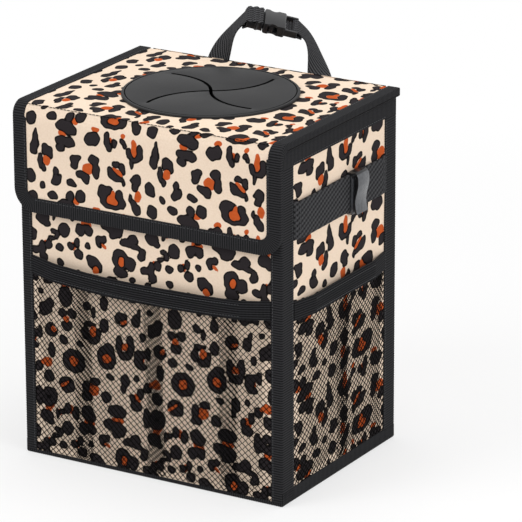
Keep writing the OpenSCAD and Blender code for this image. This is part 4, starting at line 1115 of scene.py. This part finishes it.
def make_linings():
    low, high = box_mm("lid_lining")
    x, y = np.meshgrid(steps(low[0] + 0.3, high[0] - 0.3, 1.4), steps(low[1] + 0.2, high[1] - 0.2, 1.4))
    points = joined(x, y, low[2] + 0.15 * (1 + wander(x, y, 14, 5.0)))
    points, faces, _ = cut_round(points, DISC_HOLE_R + 0.8, np.full(x.shape, True))
    made = piece("lid_lining_cloth", points, [f[::-1] for f in faces], "lid", "lining", "lining", ("lid_lining",))
    low, high = box_mm("flap_lining")
    share, z = np.meshgrid(steps(-1, 1, 0.0128), steps(low[2] + 0.2, high[2] - 0.2, 1.5))
    x = share * (flap_half(z) - 0.2)
    points = joined(x, FLAP_BACK_Y - 0.12 * (1 + wander(x, z, 12, 1.5)), z)
    made = piece("flap_lining_cloth", points, [f[::-1] for f in grid_faces(*x.shape)], "flap", "lining", "lining",
                 ("flap_lining",))
    low, high = box_mm("bottom_panel")
    x, y = np.meshgrid(steps(low[0], high[0], 3), steps(low[1], high[1], 3))
    points = joined(x, y, low[2] + 0.12 * (1 + wander(x, y, 19, 3.0)))
    made = backed("bottom_cloth", points[::-1], (0, 0, -1), high[2] - low[2] - 0.3, "root", "bottom", "bottom_cloth",
                  ("bottom_panel",))


def fuzzy_strip(name, node, body, out):
    """A touch-fastener strip: a tape covered in short loops."""
    low, high = box_mm(node)
    x, z = np.meshgrid(steps(low[0], high[0], 0.9), steps(low[2], high[2], 0.9))
    edge = np.minimum(np.minimum(x - low[0], high[0] - x), np.minimum(z - low[2], high[2] - z))
    rough = np.random.default_rng(7).random(x.shape)
    face = low[1] if out < 0 else high[1]
    y = face - out * (0.05 + 0.4 * rough * ease(edge, 2) + 0.35 * (edge < 1.6))
    points = joined(x, y, z)[:, ::-out]
    backed(name, points, (0, out, 0), high[1] - low[1] - 0.5, body, "fuzz", "touch_fastener", (node,), sharp=60)


def make_back_hinge():
    """The printed cloth that joins the lid's back edge to the back of the bin."""
    y, z = through([(88.25, 265.5), (88.5, 266.5), (88.5, 282), (88.75, 284.5), (89.6, 286.5), (89.75, 289.0),
                    (89.5, 289.5)], 22).T[..., None]
    x = steps(-107, 107, 1.6)
    rise = 0.12 * (1 + wander(x, z, 11, 2.2)) * (z < 284)
    points = joined(x, y + rise, z)[:, ::-1]
    masks = body_leopard(*np.broadcast_arrays(-points[..., 0] + 40, z + 60))
    made = backed("back_hinge_cloth", points, (0, 1, 0), 0.45, "root", "print", "print_cloth", values=masks,
                  ngon=False)


def dress_boards():
    for word in ("front", "back", "left", "right", "bottom", "lid", "flap"):
        made = bpy.data.objects[word + "_board"]
        if not made.material_slots:
            made.data.materials.append(materials["board"])
        for slot in made.material_slots:
            slot.material = materials["board"]


bpy.context.scene.view_settings.view_transform = "Standard"
set_camera()
materials = make_materials()
set_light()
set_floor()
make_panels()
make_cover()
make_bindings()
make_lid_tape()
make_lid_gap_shade()
make_pockets()
make_stitches()
make_strap()
make_mouldings()
make_liner()
make_linings()
fuzzy_strip("loop_tape", "front_loop_strip", "root", -1)
fuzzy_strip("hook_tape", "flap_hook_strip", "flap", 1)
make_back_hinge()
dress_boards()
